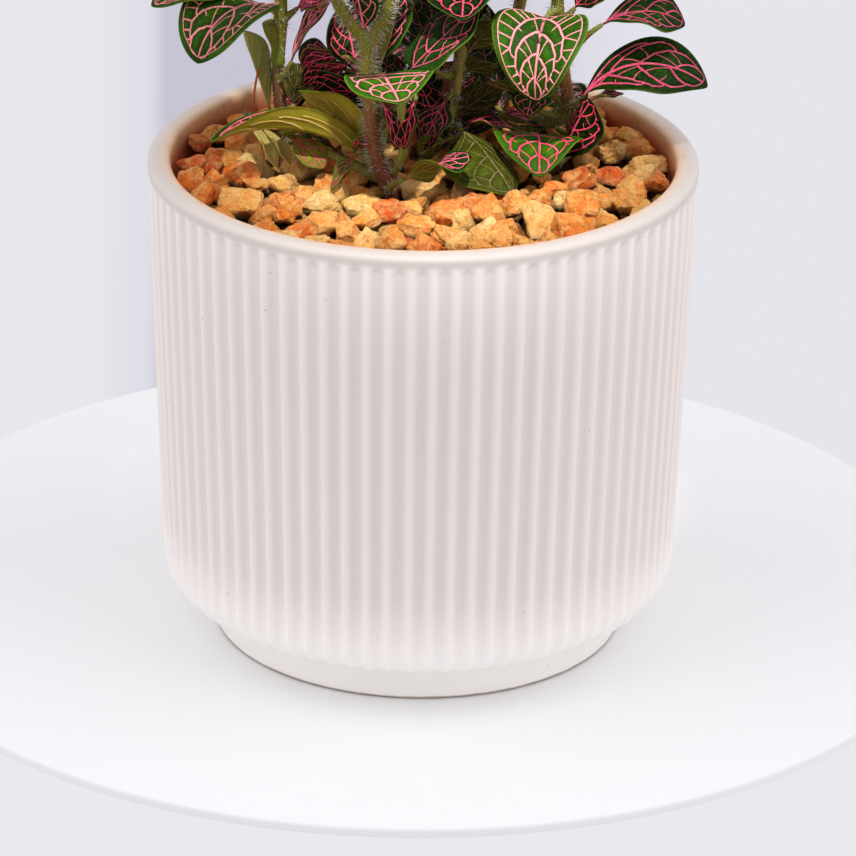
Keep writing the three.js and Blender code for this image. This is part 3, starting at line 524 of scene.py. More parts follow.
# The smallest leaves, which only the visual has
# Many of these are filler leaves in the looks "dark" and "shadow": painted shade in the gaps between the
# lower leaves.
SMALL_LEAVES = [
    ("right", 118, "dark", (21.4, 8, 122.3), (10, 9, 123.7), 11, 40, 10),
    ("front", 136, "flushed over", (-19.5, -2, 143.8), (-28.7, 0, 140.2), 9, 40, 50),
    ("left", 121, "shadow", (-30.9, 6, 128.8), (-28.6, 4, 139.5), 9, 20, -80),
    ("middle", 133, "dark", (9.8, 16, 133.8), (17.3, 12, 136.8), 9, 30, -40),
    ("right", 124, "hot", (26.1, 6, 132.6), (24.2, 0, 128.6), 10, 40, 0, 5, 0, 0.4),
    ("right", 126, "salmon", (37.5, 6, 130.1), (47.1, 6, 132.5), 7, 30, -10),
    ("front_arm", 150, "salmon over", (-13.8, -13, 154.3), (-15.7, -16, 166), 9, -20, 0, 30),
    ("middle", 113, "dark", (5.3, 4, 121), (-1.3, 2, 117.6), 9, 30, 60),
    ("front", 115, "worn", (-31, 0, 122.5), (-23.3, -6, 117.1), 8, 30, 20),
    ("left", 117, "fresh", (-28.9, 0, 124.3), (-34, -2, 124.4), 6, 40, 60),
    ("front", 116, "fresh over", (-11.8, -8, 123.3), (-16.7, -10, 125.2), 8, 40, 60),
    ("front", 113, "striped", (-15.5, -9, 122.1), (-21.4, -16, 115.5), 4, 20, 0, 20),
    ("front", 128, "dark", (-9.8, -12, 135.8), (-5.9, -15, 125.5), 6.5, 25, 0, 15),
    ("front", 128, "dark", (-2.1, -12, 136.6), (-4.5, -15, 125.6), 6, 25, 0, 15),
    ("front", 134, "dark", (-16, -3, 139.5), (-19.1, 5, 154.2), 13, 15, 0, 8),
    ("front", 136, "hot", (-12.9, -7, 142.3), (-5.5, 6, 158), 14, 15, 0, 8),
    ("middle", 133, "shadow", (1.7, 10, 138.3), (-4.2, 21, 151.3), 15, 20),
    ("left", 118, "dark", (-32.1, 15, 121.9), (-31.4, 22, 133.5), 9, 15),
    ("front", 119, "shadow", (-16.9, 4, 123.7), (-18.6, 12, 134.8), 15, 20),
    ("middle", 119, "dark", (3.9, 10, 120.7), (-1.5, 19, 129.5), 14, 20),
    ("middle", 118, "shadow", (9.2, 20, 115), (15.8, 32, 121.4), 15, 20),
    ("middle", 117, "shadow", (1.1, 6, 117.2), (7.6, 14, 121.3), 11, 25),
    ("right", 117, "dark", (31.5, 17, 119.5), (19.3, 19, 122.7), 12, 20),
    ("front", 118, "shadow", (-20.1, 1, 118.7), (-29.2, 3, 122.9), 9, 25, 20),
    ("left", 116, "faded", (-40.9, 1, 125.5), (-34.4, -4, 115.9), 5, 20, 0, 30),
    ("left", 116, "faded", (-37.8, 1, 124.5), (-31.3, -3, 116.6), 4.5, 20, 0, 30),
    ("middle", 128, "shadow", (8.9, 24, 133.4), (12.5, 35, 145.7), 15, 20),
    ("middle", 123, "dark", (4.2, 22, 123.9), (9.9, 32, 131), 14, 20),
    ("middle", 121, "shadow", (-0.1, 22, 123.8), (1.2, 31, 131.2), 12, 20),
    ("right", 124, "shadow", (18.1, 22, 122.1), (16.6, 31, 132), 13, 20),
    ("middle", 121, "shadow", (-10.1, 24, 121.9), (-8.9, 34, 132), 13, 20),
    ("right", 126, "shadow", (16.7, 24, 124.4), (13.2, 34, 135.4), 14, 20),
]

# Withered and bare stalks: their stem, points, radius and colour
BARE_STALKS = [
    ("left", [(-39.2, 6, 137.2), (-40.1, 6, 129.6), (-37.3, 6, 112.5)], 0.27, (196, 104, 48)),
    ("left", [(-29.4, 4, 124.5), (-29, 4, 120.5), (-29.4, 4, 113)], 0.8, (116, 58, 40)),
    ("left", [(-36.9, 7, 148.8), (-35, 7.5, 143.1), (-34.4, 9.5, 136.4)], 1.6, (112, 128, 40)),
    ("front", [(-5.4, -12, 138), (-5, -12.6, 131), (-4.6, -11.5, 125), (-7, -8, 116)], 1.0, (128, 140, 52)),
    ("middle", [(9.4, 14, 142.5), (7.6, 14, 130), (6, 14.5, 119.8), (5.5, 15, 112.5)], 0.9, (150, 146, 66)),
    ("middle", [(5.3, 15.5, 136), (4.9, 15.5, 126), (5, 15.5, 112.5)], 0.7, (112, 66, 46)),
]


def chances():
    """Even random numbers from 0 to 1, as the solids' source draws them."""
    state = 29
    while True:
        state = state * 16807 % 2147483647
        yield state / 2147483647


def planned_leaves():
    """The crossed pairs of every stem before anything turns aside, from the top down."""
    chance = chances()
    planned = []
    for stem, (height, heading) in UPPER.items():
        top = ROUTES[stem][-1][2]
        pairs = []
        while height < top - 3:
            t = (height - 119) / (200 - 119)
            crown = top - height < 12
            pairs.append((height, heading, -14 + 52 * t + 18 * crown, 31 - 12 * t * t - 6 * crown))
            height += 15 - 5 * t
            heading += 90
        for height, heading, tilt, length in [*pairs, (top, heading, 62, 11)]:
            for half in (0, 180):
                share, arch, roll = (next(chance) for _ in range(3))
                planned.append((stem, height, heading + half, tilt, length,
                                0.68 + 0.12 * share, 38 + 24 * arch, 24 * (roll - 0.5)))
    return sorted(planned, key=lambda leaf: -leaf[1])


def upper_leaf(stem, height, heading, tilt, length, share, arch, roll):
    heading, tilt = math.radians(heading), math.radians(tilt)
    ahead, aside = math.cos(heading), math.sin(heading)
    stalk = 0.26 * length
    base = on_stem(stem, height) + [ahead * stalk, aside * stalk, stalk * math.sin(tilt + 0.35)]
    tip = base + length * np.array([ahead * math.cos(tilt), aside * math.cos(tilt), math.sin(tilt)])
    return Leaf(stem, height, None, base, tip, share * length, arch, roll, fold=8, belly=0.45)


def cloud(leaf):
    """Points over a leaf, their middle, and how far they lie from it."""
    points = leaf.samples()
    middle = points.mean(0)
    return points, middle, np.linalg.norm(points - middle, axis=1).max()


def place_leaves():
    """Each upper leaf turns, tilts or shrinks until it is clear of the leaves and stems placed so far."""
    leaves = [Leaf(*row) for row in LOWER_LEAVES]
    clouds = [cloud(leaf) for leaf in leaves]
    stems = {}
    for stem, route in ROUTES.items():
        heights = np.arange(route[0][2], route[-1][2] + 0.1, 2.0)
        stems[stem] = np.array([on_stem(stem, z) for z in heights])

    def blocked(leaf, points, middle, radius):
        over_wall = (np.hypot(points[:, 0], points[:, 1]) > RIM_RADIUS - 8) & (points[:, 2] < LEAF_OVER_RIM)
        if (np.abs(points[:, :2]) > REACH).any() or (points[:, 2] < LEAF_FLOOR).any() or over_wall.any():
            return True
        for other, centre, size in clouds:
            apart = np.linalg.norm(middle - centre) - radius - size
            if apart < LEAF_CLEARANCE and nearest(points, other) < LEAF_CLEARANCE:
                return True
        return any(nearest(points[3 * SAMPLE_COLUMNS if stem == leaf.stem else 0:], line) < STEM_CLEARANCE
                   for stem, line in stems.items())

    steps = [(size, lift, turn) for size in (1, 0.85, 0.7) for lift in (0, 14, -14, 28)
             for turn in (0, 14, -14, 28, -28, 42, -42)]
    for stem, height, heading, tilt, length, *form in planned_leaves():
        for size, lift, turn in steps:
            leaf = upper_leaf(stem, height, heading + turn, tilt + lift, length * size, *form)
            trial = cloud(leaf)
            if not blocked(leaf, *trial):
                leaves.append(leaf)
                clouds.append(trial)
                break
    return leaves


# Colours of a leaf, as blade, underside and veins, then the weight of its veins and whether its
# margin is netted
LOOKS = {
    "dusty": ((46, 92, 6), (132, 140, 50), (240, 138, 140), 1.12, True),
    "strip": ((16, 48, 10), (172, 178, 98), (220, 50, 86), 0.9, False),
    "crowded": ((26, 62, 10), (130, 124, 50), (236, 124, 130), 1.2, False),
    "flushed": ((92, 26, 38), (110, 84, 50), (214, 62, 100), 1.1, True),
    "faded": ((226, 220, 122), (232, 226, 130), (196, 140, 60), 0.8, False),
    "worn": ((150, 148, 44), (150, 146, 60), (206, 44, 76), 0.8, False),
    "striped": ((84, 118, 20), (110, 120, 36), (170, 36, 60), 0.6, False),
    "olive": ((50, 96, 8), (150, 138, 36), (246, 86, 124), 1.1, True),
    "bright": ((50, 98, 6), (122, 138, 34), (244, 124, 142), 1.15, False),
    "hot": ((24, 64, 6), (104, 112, 32), (228, 76, 116), 0.95, False),
    "fresh": ((58, 110, 2), (116, 136, 28), (244, 54, 102), 1.0, False),
    "salmon": ((20, 52, 8), (100, 104, 34), (240, 112, 118), 1.0, False),
    # Painted shade: the looks "dark" and "shadow" colour a whole leaf nearly black for the shade it stands
    # in.
    "dark": ((8, 34, 6), (70, 76, 20), (236, 60, 98), 0.9, False),
    "shadow": ((14, 30, 8), (44, 44, 12), (120, 44, 52), 0.7, False),
    "old": ((80, 82, 10), (90, 86, 16), (94, 90, 20), 0.7, False),
    "pale": ((38, 82, 6), (110, 122, 40), (240, 142, 148), 1.12, True),
}
# The ending of a look whose blade turns its upper side down
OVER = " over"
UPPER_LOOKS = ("hot", "dusty", "bright", "hot", "pale", "dark", "salmon")
# Upper leaves that hang below this height stand in the shade of the others
SHADE_TOP = 168
BLADE_HALF, SWELL_HEIGHT, HAIR_RADIUS = 0.2, 0.42, 0.045


def bezier(points, t):
    """Points at the shares t of a curve with four control points."""
    t = np.asarray(t, float)[:, None]
    a, b, c, d = (np.asarray(p, float) for p in points)
    return (1 - t) ** 3 * a + 3 * (1 - t) ** 2 * t * b + 3 * (1 - t) * t * t * c + t**3 * d


def flat_points(leaf, line):
    """Rows of (u, v) as millimetres over the flattened blade."""
    line = np.asarray(line, float)
    return np.stack([line[..., 0] * leaf.length, line[..., 1] * leaf.seen_width(line[..., 0])], -1)


def rung(leaf, spot, line):
    """A short line from a spot to the nearest point of a vein, and its length in millimetres."""
    gaps = np.linalg.norm(flat_points(leaf, line) - flat_points(leaf, spot), axis=1)
    return np.array([spot, line[gaps.argmin()]]), gaps.min()


def margin_net(leaf, rng, size, side, inner):
    """The outermost line of a netted leaf, and short rungs from it to the arches inside."""
    spots = np.concatenate([line for line in inner if side * line[:, 1].mean() > 0])
    u = np.array([0.02, 0.03, 0.06, 0.12, 0.3, 0.5, 0.7, 0.84, 0.92, 0.955])
    v = side * np.array([0.3, 0.66, 0.82, 0.86, 0.87, 0.87, 0.85, 0.76, 0.5, 0.1])
    outer = between(np.linspace(0, len(u) - 1, 40), np.arange(len(u)), np.stack([u, v], 1))
    runs = lengths(flat_points(leaf, outer))
    found = [(outer, 0.5 * size, 0.4 * size, 3)]
    at = rng.uniform(1.2, 2.2)
    while at < runs[-1] - 2:
        bar, gap = rung(leaf, between(at, runs, outer), spots)
        if 0.7 < gap < 7:
            found.append((bar, 0.42 * size, 0.5 * size, 3))
        at += rng.uniform(2.0, 3.0)
    return found


def vein_paths(leaf, rng, rich, weight, netted):
    """Lines over the blade as rows of (u, v), each with its widths at both ends and its rank."""
    size = weight * min(1.1, max(0.5, math.sqrt(leaf.length / 28)))
    pairs = 4 if leaf.length > 13 else 3
    reach = 0.62 if netted else 0.8
    u = np.linspace(0.01, 0.95, 22)
    bend = 0.02 * np.sin(u * 6 + rng.uniform(0, 6)) * np.sin(math.pi * u)
    paths = [(np.stack([u, bend], 1), 1.3 * size, 0.6 * size, 0)]
    for side in (1, -1):
        mains = []
        for k in range(pairs):
            t = k / (pairs - 1)
            start = 0.02 + 0.68 * t + rng.uniform(-0.015, 0.015) + (0.03 if side > 0 else 0)
            span = min((0.46 - 0.24 * t) * rng.uniform(0.94, 1.08), 0.94 - start)
            outer = reach * (1 - 0.18 * t) * rng.uniform(0.95, 1.05)
            corners = [(start, 0), (start + (0.12 + 0.12 * t) * span, 0.48 * outer),
                       (start + 0.56 * span, 0.92 * outer), (start + span, outer)]
            mains.append(bezier([(a, side * b) for a, b in corners], np.linspace(0, 1, 16)))
        for k, main in enumerate(mains):
            share = 1 - 0.4 * k / pairs
            line, last = main.copy(), main[-1]
            line[2:-1:4, 1] += side * rng.uniform(0.01, 0.035, len(line[2:-1:4]))
            paths.append((line, (0.9 * share + 0.1) * size, 0.62 * size, 1))
            if k + 1 == len(mains):
                tip = [last, (0.5 * last[0] + 0.48, 0.75 * last[1]), (0.95, 0.04 * side)]
                paths.append((np.array(tip), 0.6 * size, 0.45 * size, 2))
                continue
            goal = mains[k + 1][12]
            link = bezier([last, (last[0] + 0.45 * (goal[0] - last[0]), last[1] + 0.02 * side),
                           (last[0] + 0.8 * (goal[0] - last[0]), 0.6 * last[1] + 0.4 * goal[1]), goal],
                          np.linspace(0, 1, 8))
            paths.append((link, 0.62 * size, 0.55 * size, 2))
            for at in ((5, 10) if rich else (8,)):
                bar, gap = rung(leaf, main[at + int(rng.integers(-1, 2))], mains[k + 1][1:13])
                if gap > 1.2:
                    bar = np.array([bar[0], bar.mean(0) + rng.uniform(-0.015, 0.015, 2), bar[1]])
                    paths.append((bar[:2] if rng.random() < 0.25 else bar, 0.5 * size, 0.38 * size, 3))
            if rich and not netted:
                for at in (11, 14):
                    spur = main[at] + [rng.uniform(0, 0.02), side * rng.uniform(0.05, 0.11)]
                    paths.append((np.array([main[at], spur]), 0.45 * size, 0.25 * size, 3))
        if rich and netted:
            paths += margin_net(leaf, rng, size, side, [line for line, _, _, rank in paths if 0 < rank < 3])
    return [(np.clip(line, [0.01, -0.93], [0.965, 0.93]), a, b, rank) for line, a, b, rank in paths]


class Blade:
    """The grid of a leaf's blade, with its quilting, and the way to lay things on it."""

    def __init__(self, leaf, paths, fine, over=False):
        self.leaf = leaf
        rows = int(leaf.length / (1.0 if fine else 1.5)) + 8
        grid = 0.5 - 0.5 * np.cos(np.linspace(0, math.pi, rows + 1))
        self.us = 0.55 * grid + 0.45 * np.linspace(0, 1, rows + 1)
        half = np.linspace(0, 0.9, 11 if fine else 6)
        half = np.concatenate([half, [0.96, 0.987]])
        self.vs = np.concatenate([-half[:0:-1], half])
        u, v = np.meshgrid(self.us, self.vs, indexing="ij")
        self.middle = leaf.point(u, v * leaf.narrow(u))
        self.normal = self.normals(u, v) * (-1 if over else 1)
        self.swell = self.quilt(u, v, paths)
        thick = BLADE_HALF * (1 - 0.6 * np.abs(v) ** 3)
        self.top = self.middle + self.normal * (thick + self.swell * SWELL_HEIGHT)[..., None]
        self.bottom = self.middle - self.normal * (thick - self.swell * SWELL_HEIGHT * 0.9)[..., None]
        self.margin = np.abs(v)

    def normals(self, u, v):
        """Directions off the upper side of the leaf."""
        inner = np.clip(u, 0.03, 0.97)
        v = v * self.leaf.narrow(u)
        small = 0.004
        ahead = self.leaf.point(inner + small, v) - self.leaf.point(inner - small, v)
        across = self.leaf.point(inner, v + 0.01) - self.leaf.point(inner, v - 0.01)
        normal = unit(np.cross(ahead, across))
        up = self.leaf.point(inner, v, 1.0) - self.leaf.point(inner, v)
        return np.where((normal * up).sum(-1, keepdims=True) < 0, -normal, normal)

    def quilt(self, u, v, paths):
        """How far the blade swells between its veins, from 0 on a vein to 1."""
        spots = flat_points(self.leaf, np.stack([u, v], -1)).reshape(-1, 2)
        lines = []
        for line, _, _, rank in paths:
            if rank < 3:
                count = len(line)
                dense = between(np.linspace(0, count - 1, 3 * count), np.arange(count), line)
                lines.append(flat_points(self.leaf, dense))
        lines = np.concatenate(lines)
        gaps = np.sqrt(((spots[:, None, :] - lines[None]) ** 2).sum(-1).min(1)).reshape(u.shape)
        ends = np.clip(np.minimum(u, 1 - u) / 0.08, 0, 1) * np.clip((1 - np.abs(v)) / 0.12, 0, 1)
        return (1 - np.exp(-((gaps / 1.3) ** 2))) * ends

    def on(self, uv, below=False):
        """Points of the upper or lower face at rows of (u, v), exactly on its triangles."""
        layer = self.bottom if below else self.top
        i = np.clip(np.searchsorted(self.us, uv[:, 0], side="right") - 1, 0, len(self.us) - 2)
        j = np.clip(np.searchsorted(self.vs, uv[:, 1], side="right") - 1, 0, len(self.vs) - 2)
        a = ((uv[:, 0] - self.us[i]) / (self.us[i + 1] - self.us[i]))[:, None]
        b = ((uv[:, 1] - self.vs[j]) / (self.vs[j + 1] - self.vs[j]))[:, None]
        p, q, r, s = layer[i, j], layer[i + 1, j], layer[i + 1, j + 1], layer[i, j + 1]
        point = np.where(a >= b, (1 - a) * p + (a - b) * q + b * r, (1 - b) * p + a * r + (b - a) * s)
        normal = unit((1 - a) * (1 - b) * self.normal[i, j] + a * b * self.normal[i + 1, j + 1]
                      + a * (1 - b) * self.normal[i + 1, j] + (1 - a) * b * self.normal[i, j + 1])
        return point, -normal if below else normal

    def add_to(self, shape, tint, below):
        """The blade as one closed body, over its upper face and back along its lower one."""
        def around(upper, lower):
            return np.concatenate([upper[1:-1], lower[1:-1, ::-1]], 1)

        m = len(self.vs)
        rings = around(self.top, self.bottom)
        points, faces = closed_body(rings, self.middle[[0, -1], 0], crossed=m)
        column = np.tile(np.arange(2 * m), 2 * len(rings))
        slots = ((column >= m) & (column < 2 * m - 1)).astype(int)
        shape.add(points, faces, slots, swell=np.append(around(self.swell, self.swell), [0, 0]),
                  margin=np.append(around(self.margin, self.margin), [0.5, 1]), tint=tint, below=below)


def add_ribbon(shape, blade, line, start, end, lift, tint, below=False, step=1.3):
    """A low closed ridge along a line over a blade."""
    runs = lengths(flat_points(blade.leaf, line))
    count = max(2, int(runs[-1] / step) + 1)
    uv = between(np.linspace(0, runs[-1], count), runs, line)
    ahead = unit(np.gradient(flat_points(blade.leaf, uv), axis=0))
    half = 0.5 * np.linspace(start, end, count)
    span = np.maximum(blade.leaf.seen_width(uv[:, 0]), 0.3)
    reach = np.stack([-ahead[:, 1] * half / blade.leaf.length, ahead[:, 0] * half / span], 1)
    centre, normal = blade.on(uv, below)
    sides = [np.clip(uv + turn * reach, [0.002, -0.985], [0.99, 0.985]) for turn in (1, -1)]
    left, right = (blade.on(side, below)[0] - 0.05 * normal for side in sides)
    points = np.stack([left, centre + lift * normal, right], 1).reshape(-1, 3)
    quads = ring_faces(count, 3)
    caps = np.array([[2, 1, 0], [3 * count - 3, 3 * count - 2, 3 * count - 1]])
    shape.add(points, np.concatenate([quads[:, [0, 1, 2]], quads[:, [0, 2, 3]], caps]), tint=tint)


def catmull(points, steps):
    """A smooth line through points, with its spacing by the square root of their distances."""
    def blend(p, q, low, high, t):
        return ((high - t) * p + (t - low) * q) / (high - low)

    points = np.asarray(points, float)
    padded = np.vstack([2 * points[0] - points[1], points, 2 * points[-1] - points[-2]])
    roots = np.sqrt(np.linalg.norm(np.diff(padded, axis=0), axis=1))
    stops = np.concatenate([[0], np.cumsum(roots)])
    line = []
    for k in range(len(points) - 1):
        p0, p1, p2, p3 = padded[k:k + 4]
        t0, t1, t2, t3 = stops[k:k + 4]
        for t in np.linspace(t1, t2, steps, endpoint=False):
            a, b, c = blend(p0, p1, t0, t1, t), blend(p1, p2, t1, t2, t), blend(p2, p3, t2, t3, t)
            line.append(blend(blend(a, b, t0, t2, t), blend(b, c, t1, t3, t), t1, t2, t))
    line.append(points[-1])
    return np.array(line)


def add_tube(shape, line, radii, tints, sides):
    """A closed tube along a line, with a radius and a tint at each point."""
    radii, tints = np.broadcast_to(radii, len(line)), np.broadcast_to(tints, (len(line), 3))
    ahead = unit(np.gradient(line, axis=0))
    guide = np.array([0.31, 0.95, 0.05]) if abs(ahead[:, 2]).mean() > 0.6 else np.array([0.05, 0.1, 1.0])
    aside = unit(np.cross(ahead, guide))
    over = np.cross(aside, ahead)
    angle = (np.arange(sides) * 2 * math.pi / sides)[:, None]
    spokes = np.cos(angle) * aside[:, None, :] + np.sin(angle) * over[:, None, :]
    points, faces = closed_body(line[:, None, :] + radii[:, None, None] * spokes, line[[0, -1]])
    shape.add(points, faces, tint=np.concatenate([np.repeat(tints, sides, axis=0), tints[[0, -1]]]))


def stem_tint(heights):
    """Red-brown at the foot, yellow-green above."""
    tones = (96, 52, 40), (112, 62, 48), (128, 92, 56), (130, 132, 40), (96, 112, 36), (88, 120, 38)
    return between(heights, [100, 118, 132, 146, 165, 200], [linear(*tone) for tone in tones])


def stalk_line(leaf):
    """The bent stalk from a leaf's root on its stem to its blade."""
    start, base = on_stem(leaf.stem, leaf.root), leaf.point(0, 0)
    ahead = unit(leaf.point(0.1, 0) - base)
    bend = base - 0.45 * np.linalg.norm(base - start) * ahead
    t = np.linspace(0, 1, 9)[:, None]
    return (1 - t) ** 2 * start + 2 * (1 - t) * t * bend + t * t * base


def add_hairs(shape, line, radii, rng, density, length, low=-1e9):
    """Thin straight hairs that stand off a stem."""
    runs = lengths(line)
    count = int(runs[-1] * density)
    at = rng.uniform(0, runs[-1], count)
    ahead = unit(between(at, runs, np.gradient(line, axis=0)))
    spin = rng.normal(size=(count, 3))
    out = unit(spin - (spin * ahead).sum(1, keepdims=True) * ahead)
    direction = unit(out + 0.12 * rng.normal(size=(count, 3)) + 0.1 * ahead)
    tip = direction * length * rng.uniform(0.6, 1.15, count)[:, None]
    radius = np.interp(at, runs, np.broadcast_to(radii, len(line)))
    foot = between(at, runs, line) + out * (radius[:, None] * 0.93)
    side = unit(np.cross(direction, ahead))
    third = np.cross(direction, side)
    corners = [foot + HAIR_RADIUS * (math.cos(turn) * side + math.sin(turn) * third)
               for turn in (0, 2 * math.pi / 3, -2 * math.pi / 3)]
    points = np.stack([*corners, foot + tip], 1)[foot[:, 2] > low]
    k = 4 * np.arange(len(points))[:, None]
    shape.add(points, np.concatenate([k + [0, 1, 3], k + [1, 2, 3], k + [2, 0, 3], k + [0, 2, 1]]))


def add_leaf(leaf, rng, blades, nets):
    """A leaf's blade with its veins, and the shade it stands in."""
    lower = leaf.look is not None
    look = leaf.look or UPPER_LOOKS[int(rng.integers(len(UPPER_LOOKS)))]
    if not lower and leaf.point(0.95, 0)[2] < SHADE_TOP:
        look = "dark"
    over, look = look.endswith(OVER), look.removesuffix(OVER)
    shade = rng.uniform(0.72, 1.0)
    tint, below, vein = (linear(*tone) for tone in LOOKS[look][:3])
    under_vein = 0.75 * below + 0.25 * linear(214, 170, 110)
    paths = vein_paths(leaf, rng, lower and leaf.length > 13, *LOOKS[look][3:])
    blade = Blade(leaf, paths, lower, over)
    blade.add_to(blades, tint * shade, below * shade)
    for line, start, end, rank in paths:
        tone = vein * rng.uniform(0.82, 0.94)
        add_ribbon(nets, blade, line, start, end, 0.12 - 0.01 * rank, tone, step=0.7 if lower else 1.2)
        if lower and rank < 2:
            add_ribbon(nets, blade, line, 0.75 * start, 0.7 * end, 0.14, under_vein, below=True, step=1.8)
    return shade


def make_plant(leaves):
    blade_paints, net_paint, tube_paint, coat_paint = (
        [leaf_paint(), underside_paint()], vein_paint(), stem_paint(), hair_paint())
    for stem in STEMS:
        rng = np.random.default_rng(sum(map(ord, stem)))
        routes = [route for route in ROUTES if BRANCH_OF.get(route, route) == stem]
        blades, nets, tubes, coat = Shape(), Shape(), Shape(), Shape()
        for route in routes:
            line = catmull(ROUTES[route], 10)
            rise = line[:, 2]
            radius = STEM_RADIUS * np.interp(rise, [90, 150, 215], [1.0, 0.95, 0.72])
            for leaf in leaves:
                if leaf.stem == route:
                    radius = radius + 0.2 * np.exp(-(((rise - leaf.root) / 1.6) ** 2))
            radius = np.minimum(radius, STEM_RADIUS * 1.12)
            add_tube(tubes, line, radius, stem_tint(rise), 14)
            add_hairs(coat, line, radius, rng, 20 if stem == "front" else 11, 2.3, low=118)
        for leaf in leaves:
            if leaf.stem in routes:
                shade = add_leaf(leaf, rng, blades, nets)
                stalk = stalk_line(leaf)
                tone = linear(112, 122, 44) * shade
                add_tube(tubes, stalk, np.linspace(1.3, 0.5, len(stalk)), tone, 8)
                add_hairs(coat, stalk, 0.9, rng, 5, 1.3)
        for route, points, radius, tone in BARE_STALKS:
            if route == stem:
                line = catmull(points, 8)
                share = np.linspace(0, 1, len(line))
                size = radius * (1 + 0.12 * np.sin(9 * share)) * np.interp(share, [0, 0.85, 1], [1, 1, 0.4])
                add_tube(tubes, line, size, linear(*tone), 8)
                add_hairs(coat, line, radius, rng, 6 if radius > 0.7 else 0, 1.1, low=114)
        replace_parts(blades.build(f"blades_{stem}", "foliage", blade_paints), f"leafy_stem_{stem}")
        for name, shape, paint in (("veins", nets, net_paint), ("stem", tubes, tube_paint),
                                   ("hairs", coat, coat_paint)):
            shape.build(f"{name}_{stem}", "foliage", [paint])


# Stones

RUST, CREAM = (224, 118, 44), (255, 222, 152)
MARKED_STONES = [((-36, -14), RUST), ((5.7, -17.6), RUST), ((38, 3), RUST), ((54.5, -6), RUST),
                 ((-19.6, -26), CREAM), ((30, -11.5), CREAM), ((10.5, -30), CREAM)]
STONE_TONES = [(0.5, (255, 178, 92)), (0.16, (255, 206, 130)), (0.16, (255, 162, 72)),
               (0.13, (252, 142, 56)), (0.05, (222, 104, 42))]
TRIES, MOST_MISSES, MOST_STONES = 40, 120, 520
FINE_POINTS, COARSE_POINTS = 394, 130
# Heights: stones end below the first, lie hidden below the second and darken below the third
STONE_TOP, HIDDEN_BELOW, SHADED_BELOW = 116.9, 109.3, 111.5


def settle_stones(leaves):
    """Stones dropped one by one into the lowest place of some tries, until the layer is full."""
    rng = np.random.default_rng(17)
    low = np.concatenate([leaf.samples() for leaf in leaves] + [stalk_line(leaf) for leaf in leaves])
    low = low[low[:, 2] < POT_HEIGHT + 4]
    lines = np.concatenate([catmull(ROUTES[stem], 12) for stem in STEMS])
    lines = lines[(lines[:, 2] > 103) & (lines[:, 2] < 122)]
    placed = np.zeros((0, 4))
    misses = 0
    while misses < MOST_MISSES and len(placed) < MOST_STONES:
        small = rng.random() < 0.16
        radius = rng.uniform(1.6, 2.5) if small else rng.uniform(2.7, 4.7)
        spread = (FILL_RADIUS + 0.3 - 0.86 * radius) * np.sqrt(rng.random(TRIES))
        angle = rng.uniform(0, 2 * math.pi, TRIES)
        spots = np.stack([spread * np.cos(angle), spread * np.sin(angle)], 1)
        z = np.full(TRIES, SOIL_TOP + 0.8 * radius)
        if len(placed):
            reach = 0.8 * (radius + placed[:, 3])
            flat = np.linalg.norm(spots[:, None, :] - placed[None, :, :2], axis=-1)
            rest = placed[:, 2] + np.sqrt(np.maximum(reach**2 - flat**2, 0))
            z = np.maximum(z, np.where(flat < reach, rest, 0).max(1))
        centres = np.column_stack([spots, z])
        over = z + 0.72 * radius > STONE_TOP
        near_leaf = np.linalg.norm(centres[:, None] - low[None], axis=-1).min(1) < 0.92 * radius + 0.5
        near_stem = np.linalg.norm(centres[:, None] - lines[None], axis=-1).min(1) < 0.85 * radius + 1.7
        free = ~(over | near_leaf | near_stem)
        if not free.any():
            misses += 1
            continue
        best = np.where(free, z, 1e9).argmin()
        placed = np.vstack([placed, [*centres[best], radius]])
    return placed


def turned(rng, tilt):
    """A random turn that keeps the shortest side within a tilt of upright."""
    a, b = rng.uniform(-tilt, tilt, 2)
    c = rng.uniform(0, 2 * math.pi)
    return np.array(Matrix.Rotation(c, 3, "Z") @ Matrix.Rotation(b, 3, "Y") @ Matrix.Rotation(a, 3, "X"))


def stone_points(rng, directions):
    """A crushed stone: flat breaks with worn edges, a few chips and a rough skin."""
    planes = np.vstack([unit(rng.normal(size=(9, 3))), np.eye(3), -np.eye(3)])
    away = np.concatenate([rng.uniform(0.62, 0.95, 9), rng.uniform(0.85, 1.0, 6)])
    facing = np.maximum(directions @ planes.T, 0) / away
    radius = (facing**60).sum(1) ** (-1 / 60)
    second, first = np.sort(facing, axis=1)[:, -2:].T
    edge = np.clip((second / first - 0.86) / 0.14, 0, 1)
    for _ in range(3):
        middle = unit(rng.normal(size=3))
        size = rng.uniform(0.25, 0.45)
        radius -= rng.uniform(0.04, 0.14) * np.exp(-((directions - middle) ** 2).sum(1) / size**2)
    for frequency in (4, 7, 11, 17):
        wave = rng.normal(size=(3, 3)) * frequency
        radius += 0.13 / frequency * np.sin(directions @ wave.T + rng.uniform(0, 6, 3)).sum(1)
    scale = np.array([rng.uniform(1.1, 1.4), rng.uniform(0.9, 1.1), rng.uniform(0.7, 0.9)])
    return directions * radius[:, None] * scale, edge


